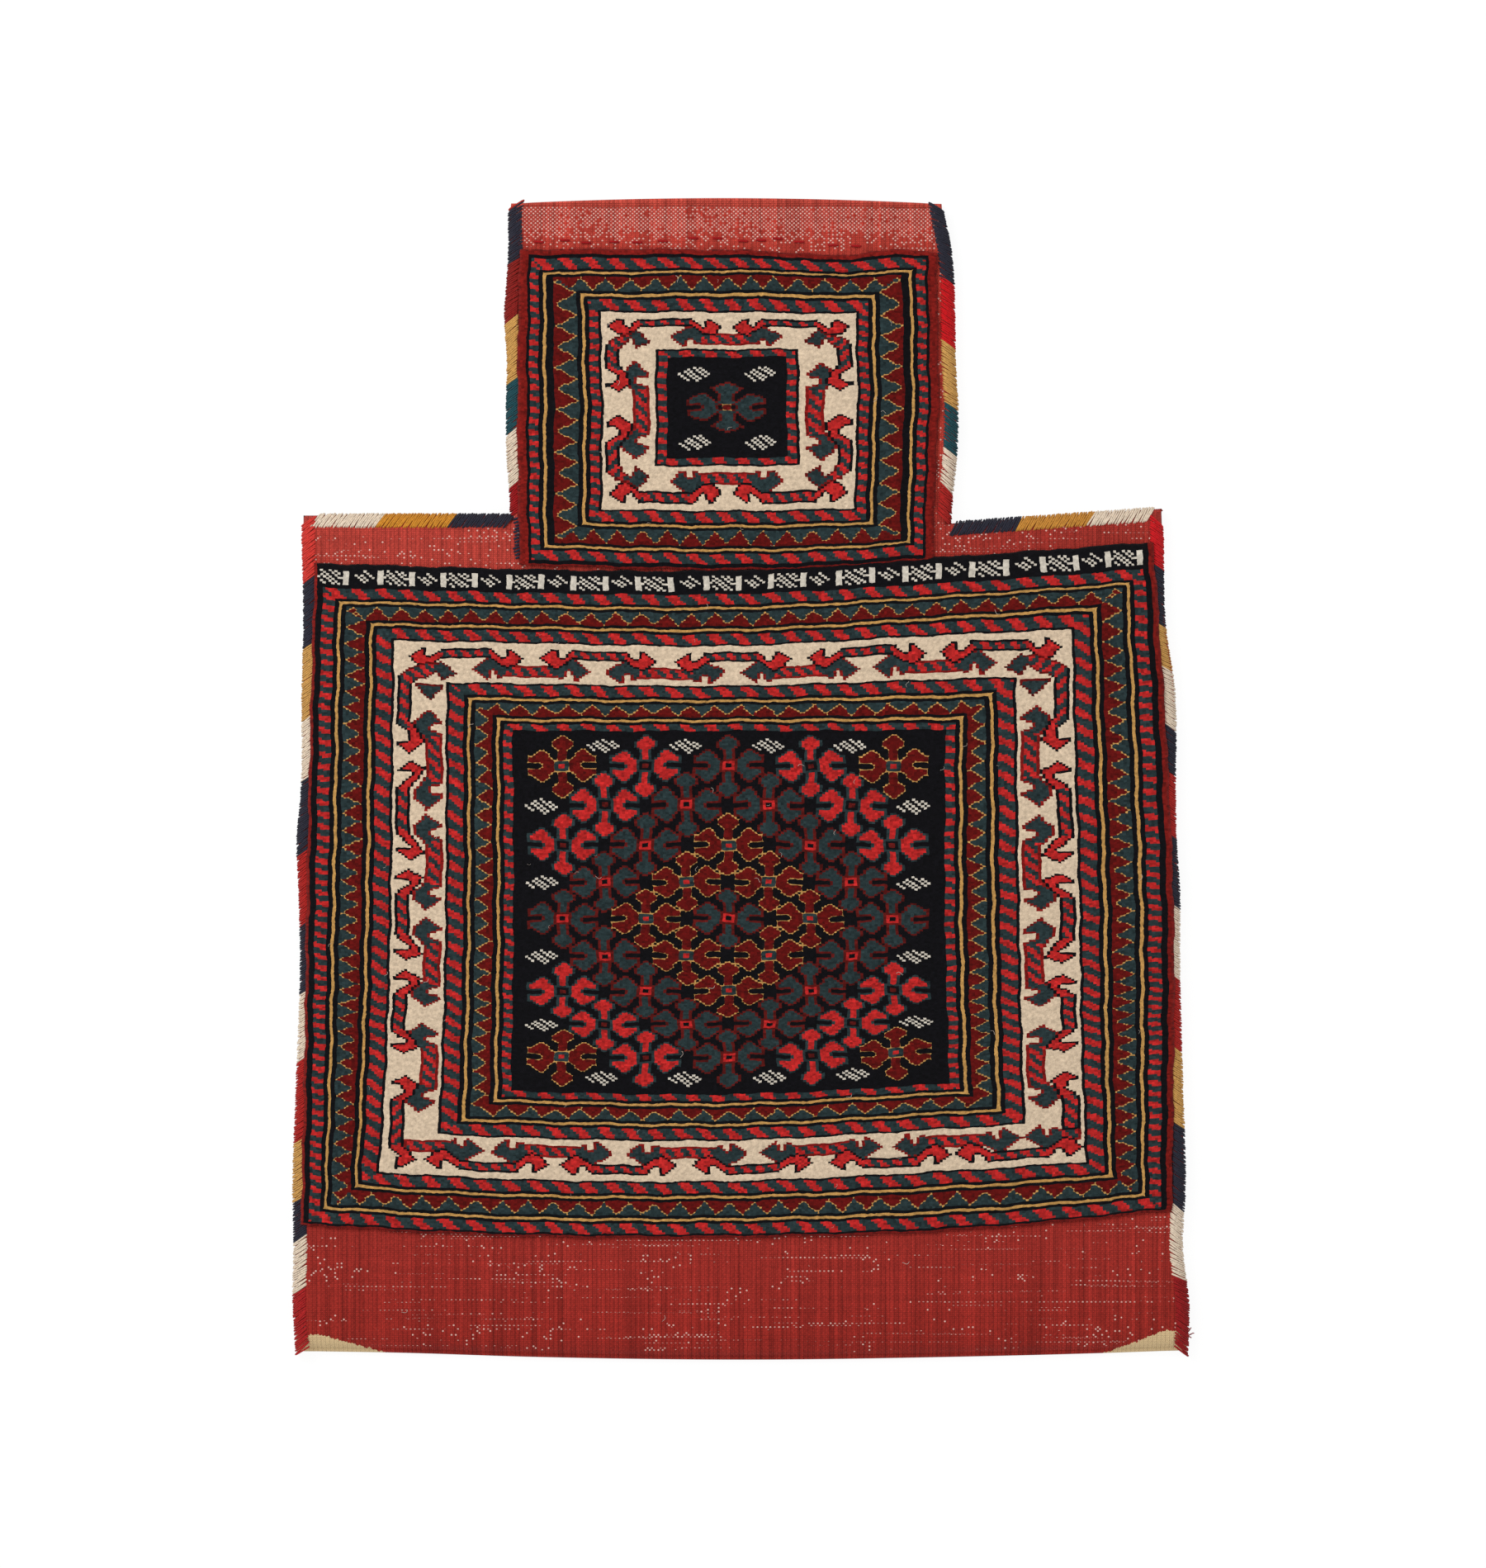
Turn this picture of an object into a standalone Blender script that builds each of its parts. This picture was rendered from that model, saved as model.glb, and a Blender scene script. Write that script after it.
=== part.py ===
"""Pile-woven salt bag, lying flat on its back.

The bag is one strip of cloth folded across at the foot, with a narrow neck whose mouth is open, a
knotted pile on the front of its body and of its neck, and blocks of coloured yarn wound over its side
edges. Metres; +X is the bag's right as the front is seen, +Y runs from the foot to the mouth and +Z
is up. The origin is under the middle of the bag, on the surface that it lies on.
"""
import math

import bmesh
import bpy
from mathutils import Vector
from mathutils.geometry import delaunay_2d_cdt

# The bag's outline, over the bindings
BAG_LENGTH = 0.5785
FOOT_WIDTH = 0.4460
WAIST_WIDTH = 0.4346
WAIST_SHIFT = -0.0016
WAIST_HEIGHT = 0.3070
SHOULDER_WIDTH = 0.4284
SHOULDER_SHIFT = -0.0047
SHOULDER_HEIGHT_LEFT = 0.4203
SHOULDER_HEIGHT_INNER = 0.4162
SHOULDER_HEIGHT_RIGHT = 0.4236
FOOT_BULGE = 0.0048
NECK_BASE_WIDTH = 0.2222
NECK_BASE_SHIFT = -0.0053
NECK_MIDDLE_WIDTH = 0.2251
NECK_MIDDLE_SHIFT = -0.0055
NECK_MIDDLE_HEIGHT = 0.4998
NECK_TOP_WIDTH = 0.2182
NECK_TOP_SHIFT = -0.0078
MOUTH_DROP_FRONT = 0.0052
MOUTH_DROP_LEFT = 0.0020
MOUTH_DROP_RIGHT = 0.0040
HEM = 0.0205

# The cloth, and the room inside the bag
CLOTH = 0.0018
HOLLOW = 0.0065
SEAM_HOLLOW = 0.0010
ROLL = 0.010
BACK_LIFT = 0.0016

# The pile, and how its colours stand over its dark ground
PILE = 0.0028
FIGURE_RELIEF = 0.0006
CREST_RELIEF = 0.0005
PILE_CLEARANCE = 0.0004
PILE_EDGE = 0.0050
GROUND_EDGE = 0.0008
PILE_FOOT_LEFT = 0.0689
PILE_FOOT_RIGHT = 0.0759
PILE_FOOT_SAG = 0.0092
PILE_TOP_LEFT = 0.3973
PILE_TOP_RIGHT = 0.4023
PILE_TOP_SAG = 0.0066

# The yarn bindings
BINDING_WALL = 0.0013
BINDING_LAP = 0.0046
BINDING_CLEARANCE = 0.0003
BLOCK_GAP = 0.0003

# The body pile's pattern: its own flat measure, which is stretched to the dark ground that keeps
# these distances from the pile's corners
BODY_PATTERN = (0.4101, 0.3268)
GROUND_INSET_TOP_LEFT = 0.0027
GROUND_INSET_TOP_RIGHT = 0.0035
GROUND_INSET_FOOT_LEFT = 0.0020
GROUND_INSET_FOOT_RIGHT = 0.0065
TOP_BAND = 0.0107
TOP_BAND_BLOCK = (0.0180, 0.0070)
TOP_BAND_DIAMOND = (0.0100, 0.0066)
TOP_BAND_PITCH = 0.0316
TOOTH_ROOT = 0.0007
FLOWER_SPAN = 0.0336
FLOWER_HEIGHT = 0.0300
FLOWER_STEP = (0.0208, 0.0180)
FLOWER_ROWS = 4
FLOWER_CENTRE = 0.0066
HATCH = (0.0130, 0.0086)
FIGURE_SPAN = 0.0560

# Each band from outside inwards: inset and width at the sides, then at the foot and the top
BODY_BANDS = (
    ("guard", 0.0025, 0.0053, 0.0016, 0.0049),
    ("line", 0.0090, 0.0030, 0.0078, 0.0018),
    ("teeth", 0.0135, 0.0111, 0.0104, 0.0070),
    ("line", 0.0269, 0.0026, 0.0184, 0.0019),
    ("guard", 0.0308, 0.0079, 0.0209, 0.0053),
    ("figures", 0.0404, 0.0280, 0.0270, 0.0203),
    ("guard", 0.0697, 0.0074, 0.0479, 0.0052),
    ("line", 0.0785, 0.0027, 0.0537, 0.0018),
    ("teeth", 0.0822, 0.0088, 0.0565, 0.0054),
    ("line", 0.0927, 0.0028, 0.0631, 0.0016),
    ("guard", 0.0968, 0.0037, 0.0658, 0.0033),
)
NECK_BANDS = (
    ("guard", 0.0016, 0.0050, 0.0020, 0.0054),
    ("line", 0.0082, 0.0031, 0.0084, 0.0019),
    ("teeth_inward", 0.0137, 0.0115, 0.0113, 0.0072),
    ("line", 0.0270, 0.0030, 0.0193, 0.0014),
    ("guard", 0.0318, 0.0043, 0.0217, 0.0048),
    ("figures", 0.0381, 0.0262, 0.0275, 0.0180),
    ("guard", 0.0657, 0.0040, 0.0468, 0.0036),
)

# How far apart marks, teeth and border figures stand, along the foot and top, then along the sides
BODY_PITCHES = {"guard": (0.0120, 0.0073), "teeth": (0.0120, 0.0070), "figures": (0.0640, 0.0515)}
NECK_PITCHES = {"guard": (0.0120, 0.0073), "teeth_inward": (0.0120, 0.0070), "figures": (0.0640, 0.0560)}

# The neck pile's pattern
NECK_PATTERN = (0.2000, 0.1548)
NECK_GROUND_INSET = 0.0045
NECK_FIGURE_SPAN = 0.0530

# Wool colours as they were seen, in linear values
COLOURS = {
    "red_cloth": (0.340, 0.055, 0.040),
    "red_wool": (0.560, 0.022, 0.020),
    "dark_red_wool": (0.140, 0.010, 0.008),
    "green_wool": (0.026, 0.052, 0.058),
    "gold_wool": (0.600, 0.370, 0.120),
    "cream_wool": (0.740, 0.620, 0.450),
    "dark_wool": (0.008, 0.008, 0.010),
    "navy_yarn": (0.030, 0.030, 0.048),
    "gold_yarn": (0.620, 0.390, 0.150),
    "cream_yarn": (0.700, 0.600, 0.470),
    "red_yarn": (0.480, 0.050, 0.040),
    "teal_yarn": (0.050, 0.100, 0.110),
}

# Each edge's blocks from its start to its end, as a colour and the length that it takes
EDGE_BLOCKS = {
    "neck_left": (
        ("red", 0.0030), ("navy", 0.0270), ("red", 0.0290), ("gold", 0.0300), ("teal", 0.0250),
        ("cream", 0.0260), ("red", 0.0140)),
    "neck_right": (
        ("navy", 0.0360), ("red", 0.0310), ("gold", 0.0300), ("teal", 0.0220), ("cream", 0.0180),
        ("red", 0.0150)),
    "shoulder_left": (("cream", 0.0330), ("gold", 0.0360), ("navy", 0.0290)),
    "shoulder_right": (("navy", 0.0330), ("gold", 0.0360), ("cream", 0.0300)),
    "body_left": (
        ("red", 0.0332), ("navy", 0.0324), ("gold", 0.0361), ("cream", 0.0295), ("navy", 0.0373),
        ("red", 0.0349), ("navy", 0.0336), ("cream", 0.0336), ("red", 0.0402), ("gold", 0.0299),
        ("navy", 0.0193), ("cream", 0.0258), ("red", 0.0303)),
    "body_right": (
        ("red", 0.0299), ("navy", 0.0283), ("gold", 0.0217), ("cream", 0.0299), ("navy", 0.0221),
        ("red", 0.0308), ("navy", 0.0349), ("cream", 0.0353), ("red", 0.0357), ("gold", 0.0381),
        ("navy", 0.0410), ("cream", 0.0344), ("red", 0.0369)),
}

FOLD_Y = -BAG_LENGTH / 2
MOUTH_Y = BAG_LENGTH / 2
EDGE_MARGIN = BINDING_WALL + BINDING_CLEARANCE
SEAM_THICKNESS = 2 * CLOTH + SEAM_HOLLOW
MIDDLE_THICKNESS = 2 * CLOTH + HOLLOW
FOLD_STEPS = 4
GROUND_RELIEF = -FIGURE_RELIEF
FLOWER_COLOURS = ("green_wool", "gold_wool", "green_wool", "red_wool", "gold_wool")
BAND_FINISH = {
    "guard": ("green_wool", 0.0),
    "line": ("gold_wool", GROUND_RELIEF),
    "teeth": ("green_wool", 0.0),
    "teeth_inward": ("green_wool", 0.0),
    "figures": ("cream_wool", 0.0),
}
RIM_STEPS = (0.0, PILE_EDGE, ROLL)
SAG_STEPS = 4

# Shares of a depth or of a step in the pattern
MARK_MARGIN = 0.10
MARK_HALF_WIDTH = 0.22
MARK_SLANT = 0.25
FIGURE_DEPTH = 0.40
OUTER_FIGURES = 0.28
INNER_FIGURES = 0.74
FIGURE_FILL = 0.88
HATCH_OUT = (0.46, 0.50)
TOP_BAND_CENTRE = 0.62

# How much of the mouth's arch its front follows, and where the left binding ends on it
FRONT_ARCH = 0.35
LEFT_BINDING_DROP = 0.50

# The binding's section, in parts of its wall or of its clearance
BINDING_BELLY = 1.2
BINDING_SHOULDER = 0.2
BINDING_RISE = 1.4

# A row's point that is off the straight by less than this is in line
STRAIGHT = 0.00001


def mix(a, b, share):
    """The value a share of the way from a to b."""
    return a + (b - a) * share


def along(stations, height):
    """The value at a height between stations, each a height and a value, in rising order."""
    for (low, first), (high, second) in zip(stations, stations[1:]):
        if height <= high:
            return mix(first, second, (height - low) / (high - low))
    return stations[-1][1]


def edge_stations(side):
    """The cloth's edge on one side (-1 left, 1 right) of the body and of the neck."""
    inset = side * EDGE_MARGIN
    body = [
        (FOLD_Y, side * FOOT_WIDTH / 2 - inset),
        (FOLD_Y + WAIST_HEIGHT, WAIST_SHIFT + side * WAIST_WIDTH / 2 - inset),
        (FOLD_Y + max(SHOULDER_HEIGHT_LEFT, SHOULDER_HEIGHT_RIGHT),
         SHOULDER_SHIFT + side * SHOULDER_WIDTH / 2 - inset),
    ]
    neck = [
        (FOLD_Y + SHOULDER_HEIGHT_INNER, NECK_BASE_SHIFT + side * NECK_BASE_WIDTH / 2 - inset),
        (FOLD_Y + NECK_MIDDLE_HEIGHT, NECK_MIDDLE_SHIFT + side * NECK_MIDDLE_WIDTH / 2 - inset),
        (MOUTH_Y, NECK_TOP_SHIFT + side * NECK_TOP_WIDTH / 2 - inset),
    ]
    return body, neck


BODY_LEFT, NECK_LEFT = edge_stations(-1)
BODY_RIGHT, NECK_RIGHT = edge_stations(1)
NECK_BASE_X = (NECK_LEFT[0][1], NECK_RIGHT[0][1])


def shoulder_y(x):
    """The cloth's shoulder line, which runs on across the neck's base."""
    stations = [
        (BODY_LEFT[2][1], FOLD_Y + SHOULDER_HEIGHT_LEFT),
        (NECK_BASE_X[0], FOLD_Y + SHOULDER_HEIGHT_LEFT),
        (NECK_BASE_X[1], FOLD_Y + SHOULDER_HEIGHT_INNER),
        (BODY_RIGHT[2][1], FOLD_Y + SHOULDER_HEIGHT_RIGHT),
    ]
    return along(stations, x)


def seams():
    """The bound edges as straight stretches, each a pair of points."""
    lines = []
    for body, neck in ((BODY_LEFT, NECK_LEFT), (BODY_RIGHT, NECK_RIGHT)):
        foot, waist, top = [Vector((x, y)) for y, x in body]
        corner = Vector((top.x, shoulder_y(top.x)))
        base = Vector((neck[0][1], shoulder_y(neck[0][1])))
        middle, mouth = [Vector((x, y)) for y, x in neck[1:]]
        lines += [(foot, waist), (waist, corner), (corner, base), (base, middle), (middle, mouth)]
    return lines


SEAMS = seams()


def distance_to_seam(x, y):
    """How far a point of the bag lies from the nearest bound edge."""
    point = Vector((x, y))
    nearest = 1.0
    for start, end in SEAMS:
        run = end - start
        share = max(0.0, min(1.0, (point - start).dot(run) / run.length_squared))
        nearest = min(nearest, (point - start - run * share).length)
    return nearest


def fold_line_y(x):
    """The lowest line of the foot, which bulges a little in the middle."""
    share = (x - BODY_LEFT[0][1]) / (BODY_RIGHT[0][1] - BODY_LEFT[0][1])
    return FOLD_Y + FOOT_BULGE * (2 * share - 1) ** 2


def back_height(x, y):
    """The height of the back's outer face: flat, and lifted at the bound edges."""
    return BACK_LIFT * max(0.0, 1 - distance_to_seam(x, y) / ROLL)


def front_height(x, y):
    """The height of the front's outer face, which rolls down to every closed edge."""
    inward = min(distance_to_seam(x, y), max(0.0, y - fold_line_y(x) - SEAM_THICKNESS / 2), ROLL)
    rise = math.sqrt(max(0.0, 1 - (1 - inward / ROLL) ** 2))
    return back_height(x, y) + mix(SEAM_THICKNESS, MIDDLE_THICKNESS, rise)


def pile_row(left, right, sag):
    """A row across the body that sags in the middle, as a function of x."""
    def row(x):
        y = FOLD_Y + mix(left, right, 0.5)
        share = (x - along(BODY_LEFT, y)) / (along(BODY_RIGHT, y) - along(BODY_LEFT, y))
        return FOLD_Y + mix(left, right, share) - sag * (1 - (2 * share - 1) ** 2)
    return row


PILE_FOOT_ROW = pile_row(PILE_FOOT_LEFT, PILE_FOOT_RIGHT, PILE_FOOT_SAG)
PILE_TOP_ROW = pile_row(PILE_TOP_LEFT, PILE_TOP_RIGHT, PILE_TOP_SAG)


def shifted(row, rise):
    """The same row, raised."""
    return lambda x: row(x) + rise


def in_order(rows):
    """The rows from the lowest to the highest, as they lie on the middle line."""
    return sorted(rows, key=lambda row: row[1](0.0))


def body_rows():
    """The rows of the cloth from the fold's top line to the shoulders, with names for the pile's."""
    fold = shifted(fold_line_y, SEAM_THICKNESS / 2)
    rows = [("fold", fold)]
    rows += [("rim", shifted(fold, step)) for step in RIM_STEPS[1:]]
    rows += in_order([
        ("pile_foot", PILE_FOOT_ROW), ("waist", lambda x: FOLD_Y + WAIST_HEIGHT),
        ("pile_top", PILE_TOP_ROW), ("neck_pile_foot", shifted(PILE_TOP_ROW, PILE_CLEARANCE))])
    rows += [("rim", shifted(shoulder_y, -step)) for step in reversed(RIM_STEPS[1:])]
    return rows + [("shoulder", shoulder_y)]


def mouth_row(front):
    """The mouth's edge on the front, or on the back, which stands higher in an arch."""
    def row(x):
        share = (x - NECK_LEFT[2][1]) / (NECK_RIGHT[2][1] - NECK_LEFT[2][1])
        drop = mix(MOUTH_DROP_LEFT, MOUTH_DROP_RIGHT, share) * (2 * share - 1) ** 2
        return MOUTH_Y - (mix(MOUTH_DROP_FRONT, drop, FRONT_ARCH) if front else drop)
    return row


def neck_rows(front):
    """The rows of the neck above the shoulders."""
    hem = MOUTH_Y - MOUTH_DROP_FRONT - HEM
    rows = [("neck_middle", lambda x: FOLD_Y + NECK_MIDDLE_HEIGHT), ("hem", lambda x: hem)]
    return in_order(rows) + [("mouth", mouth_row(front))]


def columns(neck_y, body_y):
    """The x of each column: rim steps at the body's edges and at the neck's, and some between."""
    left = along(BODY_LEFT, body_y)
    right = along(BODY_RIGHT, body_y)
    neck_left = along(NECK_LEFT, neck_y)
    neck_right = along(NECK_RIGHT, neck_y)
    low_side = [left + step for step in RIM_STEPS]
    low_side.append(mix(left + ROLL, neck_left, 0.5))
    neck = [neck_left + step for step in RIM_STEPS]
    neck += [mix(neck_left + ROLL, neck_right - ROLL, share) for share in (0.25, 0.5, 0.75)]
    neck += [neck_right - step for step in reversed(RIM_STEPS)]
    high_side = [mix(neck_right, right - ROLL, 0.5)]
    high_side += [right - step for step in reversed(RIM_STEPS)]
    return low_side, neck, high_side


NECK_FIRST = len(RIM_STEPS) + 1
NECK_COUNT = 2 * len(RIM_STEPS) + 3
NECK_LAST = NECK_FIRST + NECK_COUNT - 1


def grid_rows(front):
    """Every row's name and points, from the fold to the mouth; the neck's rows are shorter."""
    table = []
    for name, row in body_rows():
        xs = sum(columns(FOLD_Y + SHOULDER_HEIGHT_INNER, row(0.0)), [])
        table.append((name, settled(xs, row, BODY_LEFT, BODY_RIGHT)))
    for name, row in neck_rows(front):
        xs = columns(row(0.0), 0.0)[1]
        points = settled(xs, row, NECK_LEFT, NECK_RIGHT)
        table.append((name, [None] * NECK_FIRST + points + [None] * NECK_FIRST))
    return table


def settled(xs, row, left, right):
    """A row's points, whose end columns follow the slanted sides exactly at their own height."""
    points = []
    for index, x in enumerate(xs):
        y = row(x)
        if index < len(RIM_STEPS):
            x = along(left, y) + RIM_STEPS[index]
        if index >= len(xs) - len(RIM_STEPS):
            x = along(right, y) - RIM_STEPS[len(xs) - 1 - index]
        points.append((x, row(x)))
    return points


FRONT_ROWS = grid_rows(True)
BACK_ROWS = grid_rows(False)
ROW_NAMES = [name for name, points in FRONT_ROWS]


def add_sheet(mesh, rows):
    """Add rows of points, each a 3-D point or None, as a sheet of triangles; return the vertices."""
    table = [[None if point is None else mesh.verts.new(point) for point in row] for row in rows]
    for low, high in zip(table, table[1:]):
        for column in range(len(low) - 1):
            corners = (low[column], low[column + 1], high[column + 1], high[column])
            if None not in corners:
                mesh.faces.new(corners[:3])
                mesh.faces.new((corners[0], corners[2], corners[3]))
    return table


def finished_object(name, mesh, materials, collection):
    """Turn a bmesh into a named object with its materials."""
    data = bpy.data.meshes.new(name)
    mesh.to_mesh(data)
    mesh.free()
    for material in materials:
        data.materials.append(material)
    item = bpy.data.objects.new(name, data)
    collection.objects.link(item)
    return item


def add_woven_cloth(collection, materials):
    """The folded strip: front, fold and back as one open sheet that is given its thickness."""
    mesh = bmesh.new()
    rows = []
    for name, points in reversed(BACK_ROWS):
        rows.append([None if p is None else (p[0], p[1], back_height(*p)) for p in points])
    radius = SEAM_THICKNESS / 2
    for step in range(1, FOLD_STEPS):
        turn = math.pi * step / FOLD_STEPS
        ring = []
        for x, y in FRONT_ROWS[0][1]:
            middle = back_height(x, y) + radius
            ring.append((x, y - radius * math.sin(turn), middle - radius * math.cos(turn)))
        rows.append(ring)
    for name, points in FRONT_ROWS:
        rows.append([None if p is None else (p[0], p[1], front_height(*p)) for p in points])
    add_sheet(mesh, rows)
    bmesh.ops.recalc_face_normals(mesh, faces=mesh.faces)
    cloth = finished_object("woven_cloth", mesh, [materials["red_cloth"]], collection)
    wall = cloth.modifiers.new("cloth_thickness", "SOLIDIFY")
    wall.thickness = CLOTH
    wall.offset = -1
    wall.use_even_offset = True
    return cloth


class Pattern:
    """Flat figures nested in one another, each with its colour and its height over the ground."""

    def __init__(self, outline, colour):
        self.loops = [list(outline)]
        self.colours = [colour]
        self.reliefs = [0.0]

    def add(self, points, colour, relief):
        """Add one closed figure; a later figure lies inside an earlier one or clear of it."""
        self.loops.append([tuple(point) for point in points])
        self.colours.append(colour)
        self.reliefs.append(relief)

    def triangles(self):
        """The flat triangles and, for each, the figure that shows there."""
        points = []
        faces = []
        for loop in self.loops:
            area = sum(a[0] * b[1] - b[0] * a[1] for a, b in zip(loop, loop[1:] + loop[:1]))
            ordered = loop if area > 0 else loop[::-1]
            faces.append(list(range(len(points), len(points) + len(ordered))))
            points += [Vector(point) for point in ordered]
        result = delaunay_2d_cdt(points, [], faces, 1, 1e-7)
        owners = [max(inside) for inside in result[5]]
        return [tuple(point) for point in result[0]], result[2], owners


def add_pile(name, pattern, underside, collection, materials):
    """A slab of pile: its underside keeps to the cloth, and its top carries the pattern."""
    mesh = bmesh.new()
    under = {}
    table = []
    for row in underside:
        line = []
        for x, y in row:
            under[(x, y)] = mesh.verts.new((x, y, front_height(x, y) + PILE_CLEARANCE))
            line.append(under[(x, y)])
        table.append(line)
    for low, high in zip(table, table[1:]):
        for column in range(len(low) - 1):
            mesh.faces.new((low[column], high[column + 1], low[column + 1]))
            mesh.faces.new((low[column], high[column], high[column + 1]))
    points, faces, owners = pattern.triangles()
    slots = sorted(set(pattern.colours))
    tops = {}

    def top(index, relief):
        key = (index, relief)
        if key not in tops:
            x, y = points[index]
            tops[key] = mesh.verts.new((x, y, front_height(x, y) + PILE_CLEARANCE + PILE + relief))
        return tops[key]

    levels = {}
    for corners, owner in zip(faces, owners):
        for index in corners:
            levels.setdefault(index, set()).add(pattern.reliefs[owner])

    def post(index, low, high):
        """The upright line over a point from one height to another, with any between."""
        return [top(index, level) for level in sorted(levels[index]) if low <= level <= high]

    beside = {}
    for corners, owner in zip(faces, owners):
        relief = pattern.reliefs[owner]
        face = mesh.faces.new([top(index, relief) for index in corners])
        face.material_index = slots.index(pattern.colours[owner])
        for start, end in zip(corners, corners[1:] + corners[:1]):
            beside[(start, end)] = relief
    for (start, end), relief in beside.items():
        other = beside.get((end, start))
        if other is None:
            low = [nearest_key(under, points[index]) for index in (start, end)]
            mesh.faces.new((low[0], low[1], top(end, relief), top(start, relief)))
        elif relief > other:
            mesh.faces.new(post(end, other, relief) + post(start, other, relief)[::-1])
    bmesh.ops.triangulate(mesh, faces=mesh.faces)
    bmesh.ops.recalc_face_normals(mesh, faces=mesh.faces)
    used = [materials[colour] for colour in slots]
    return finished_object(name, mesh, used, collection)


def nearest_key(table, point):
    """The entry whose place is nearest to a point; the two come from the same numbers."""
    return table[min(table, key=lambda key: (key[0] - point[0]) ** 2 + (key[1] - point[1]) ** 2)]


def grid_part(first_row, last_row, first_column, last_column):
    """A block of the front's grid, as rows of flat points."""
    low = ROW_NAMES.index(first_row)
    high = ROW_NAMES.index(last_row)
    return [points[first_column:last_column + 1] for name, points in FRONT_ROWS[low:high + 1]]


def outline_of(rows):
    """The closed outline of a block of the grid, anticlockwise."""
    right = [row[-1] for row in rows[1:-1]]
    left = [row[0] for row in rows[1:-1]]
    return rows[0] + right + rows[-1][::-1] + left[::-1]


def side_line(rows, column):
    """A side edge of a block of the grid as heights and x, without the points in line."""
    line = [(row[column][1], row[column][0]) for row in rows]
    inner = []
    for before, point, after in zip(line, line[1:], line[2:]):
        if abs(point[1] - along([before, after], point[0])) > STRAIGHT:
            inner.append(point)
    return [line[0]] + inner + [line[-1]]


class Ground:
    """A drawn-out rectangle on the pile, with its own flat measure from its lower left corner.

    Its sides keep their insets from the pile's side edges, bends included, and its rows sag.
    """

    def __init__(self, measure, edges, insets, lows, highs, sags):
        self.width, self.height = measure
        self.edges = edges
        self.insets = insets
        self.lows = lows
        self.highs = highs
        self.sags = sags

    def side_x(self, side, up):
        """The ground's left (0) or right (1) edge at a share of its height."""
        y = mix(self.lows[side], self.highs[side], up)
        inset = mix(*self.insets[side], up)
        return along(self.edges[side], y) + (inset if side == 0 else -inset)

    def sag_share(self, across):
        """How much of the sag a share of the width takes: a curve in straight stretches."""
        place = max(0.0, min(1.0, across)) * SAG_STEPS
        low = min(int(place), SAG_STEPS - 1)
        shares = [1 - (2 * (low + n) / SAG_STEPS - 1) ** 2 for n in (0, 1)]
        return mix(*shares, place - low)

    def place(self, a, b):
        """The point of the bag at a across and b up from the ground's corner."""
        across = a / self.width
        up = b / self.height
        low_y = mix(*self.lows, across)
        high_y = mix(*self.highs, across)
        sag = mix(*self.sags, up) * self.sag_share(across)
        return mix(self.side_x(0, up), self.side_x(1, up), across), mix(low_y, high_y, up) - sag

    def row_bends(self):
        """Where the sag bends, measured across."""
        return [self.width * n / SAG_STEPS for n in range(1, SAG_STEPS)]

    def side_bends(self, side):
        """Where a side edge bends, measured up."""
        low, high = self.lows[side], self.highs[side]
        inner = [y for y, x in self.edges[side][1:-1] if low < y < high]
        return [(y - low) / (high - low) * self.height for y in inner]

    def ring(self, side, foot, top):
        """A frame line, inset by these amounts, with enough points to follow every bend."""
        right, upper = self.width - side, self.height - top
        across = [side] + [a for a in self.row_bends() if side < a < right] + [right]
        rising = [b for b in self.side_bends(1) if foot < b < upper]
        falling = [b for b in reversed(self.side_bends(0)) if foot < b < upper]
        line = [(a, foot) for a in across] + [(right, b) for b in rising]
        line += [(a, upper) for a in reversed(across)] + [(side, b) for b in falling]
        return [self.place(*point) for point in line]

    def run_bends(self, start, length, turn):
        """Where a straight run from a start point has to bend, as lengths along it."""
        a, b = start
        runs = (
            [bend - a for bend in self.row_bends()],
            [bend - b for bend in self.side_bends(1)],
            [a - bend for bend in reversed(self.row_bends())],
            [b - bend for bend in reversed(self.side_bends(0))],
        )
        return [run for run in runs[turn] if 0 < run < length]

    def shape(self, points, a, b, quarter_turns=0):
        """A figure's own points, turned and set down at a place on the ground."""
        placed = []
        for u, v in points:
            for _ in range(quarter_turns % 4):
                u, v = -v, u
            placed.append(self.place(a + u, b + v))
        return placed


def mirrored(points):
    """A closed half outline and its reflection across the upright axis."""
    return points + [(-u, v) for u, v in reversed(points) if abs(u) > 1e-9]


def flower_outline(span, height):
    """A flower head: a diamond above and below, and a cleft lobe on each side."""
    half = span / 2
    tall = height / 2
    lower = [
        (0.0, -tall), (half * 0.40, -tall * 0.72), (half * 0.18, -tall * 0.36),
        (half * 0.60, -tall * 0.58), (half, -tall * 0.28)]
    return mirrored(lower + [(half * 0.50, 0.0)] + [(u, -v) for u, v in reversed(lower)])


def diamond_outline(span, height):
    """A diamond."""
    return [(0.0, -height / 2), (span / 2, 0.0), (0.0, height / 2), (-span / 2, 0.0)]


def block_outline(span, height):
    """A flat block."""
    return [(-span / 2, -height / 2), (span / 2, -height / 2), (span / 2, height / 2),
            (-span / 2, height / 2)]


def double_head_outline(span, depth):
    """The border's figure: a bar with a barbed arrow head at each end, its heads hanging down."""
    half = span / 2
    right = [
        (half * 0.60, -depth * 0.45), (half * 0.78, -depth * 0.50), (half, 0.0),
        (half * 0.68, depth * 0.42), (half * 0.74, depth * 0.02), (half * 0.48, depth * 0.50)]
    left = [(-u, v) for u, v in reversed(right)]
    return right + left + [(-half * 0.42, 0.0), (half * 0.42, 0.0)]


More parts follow.
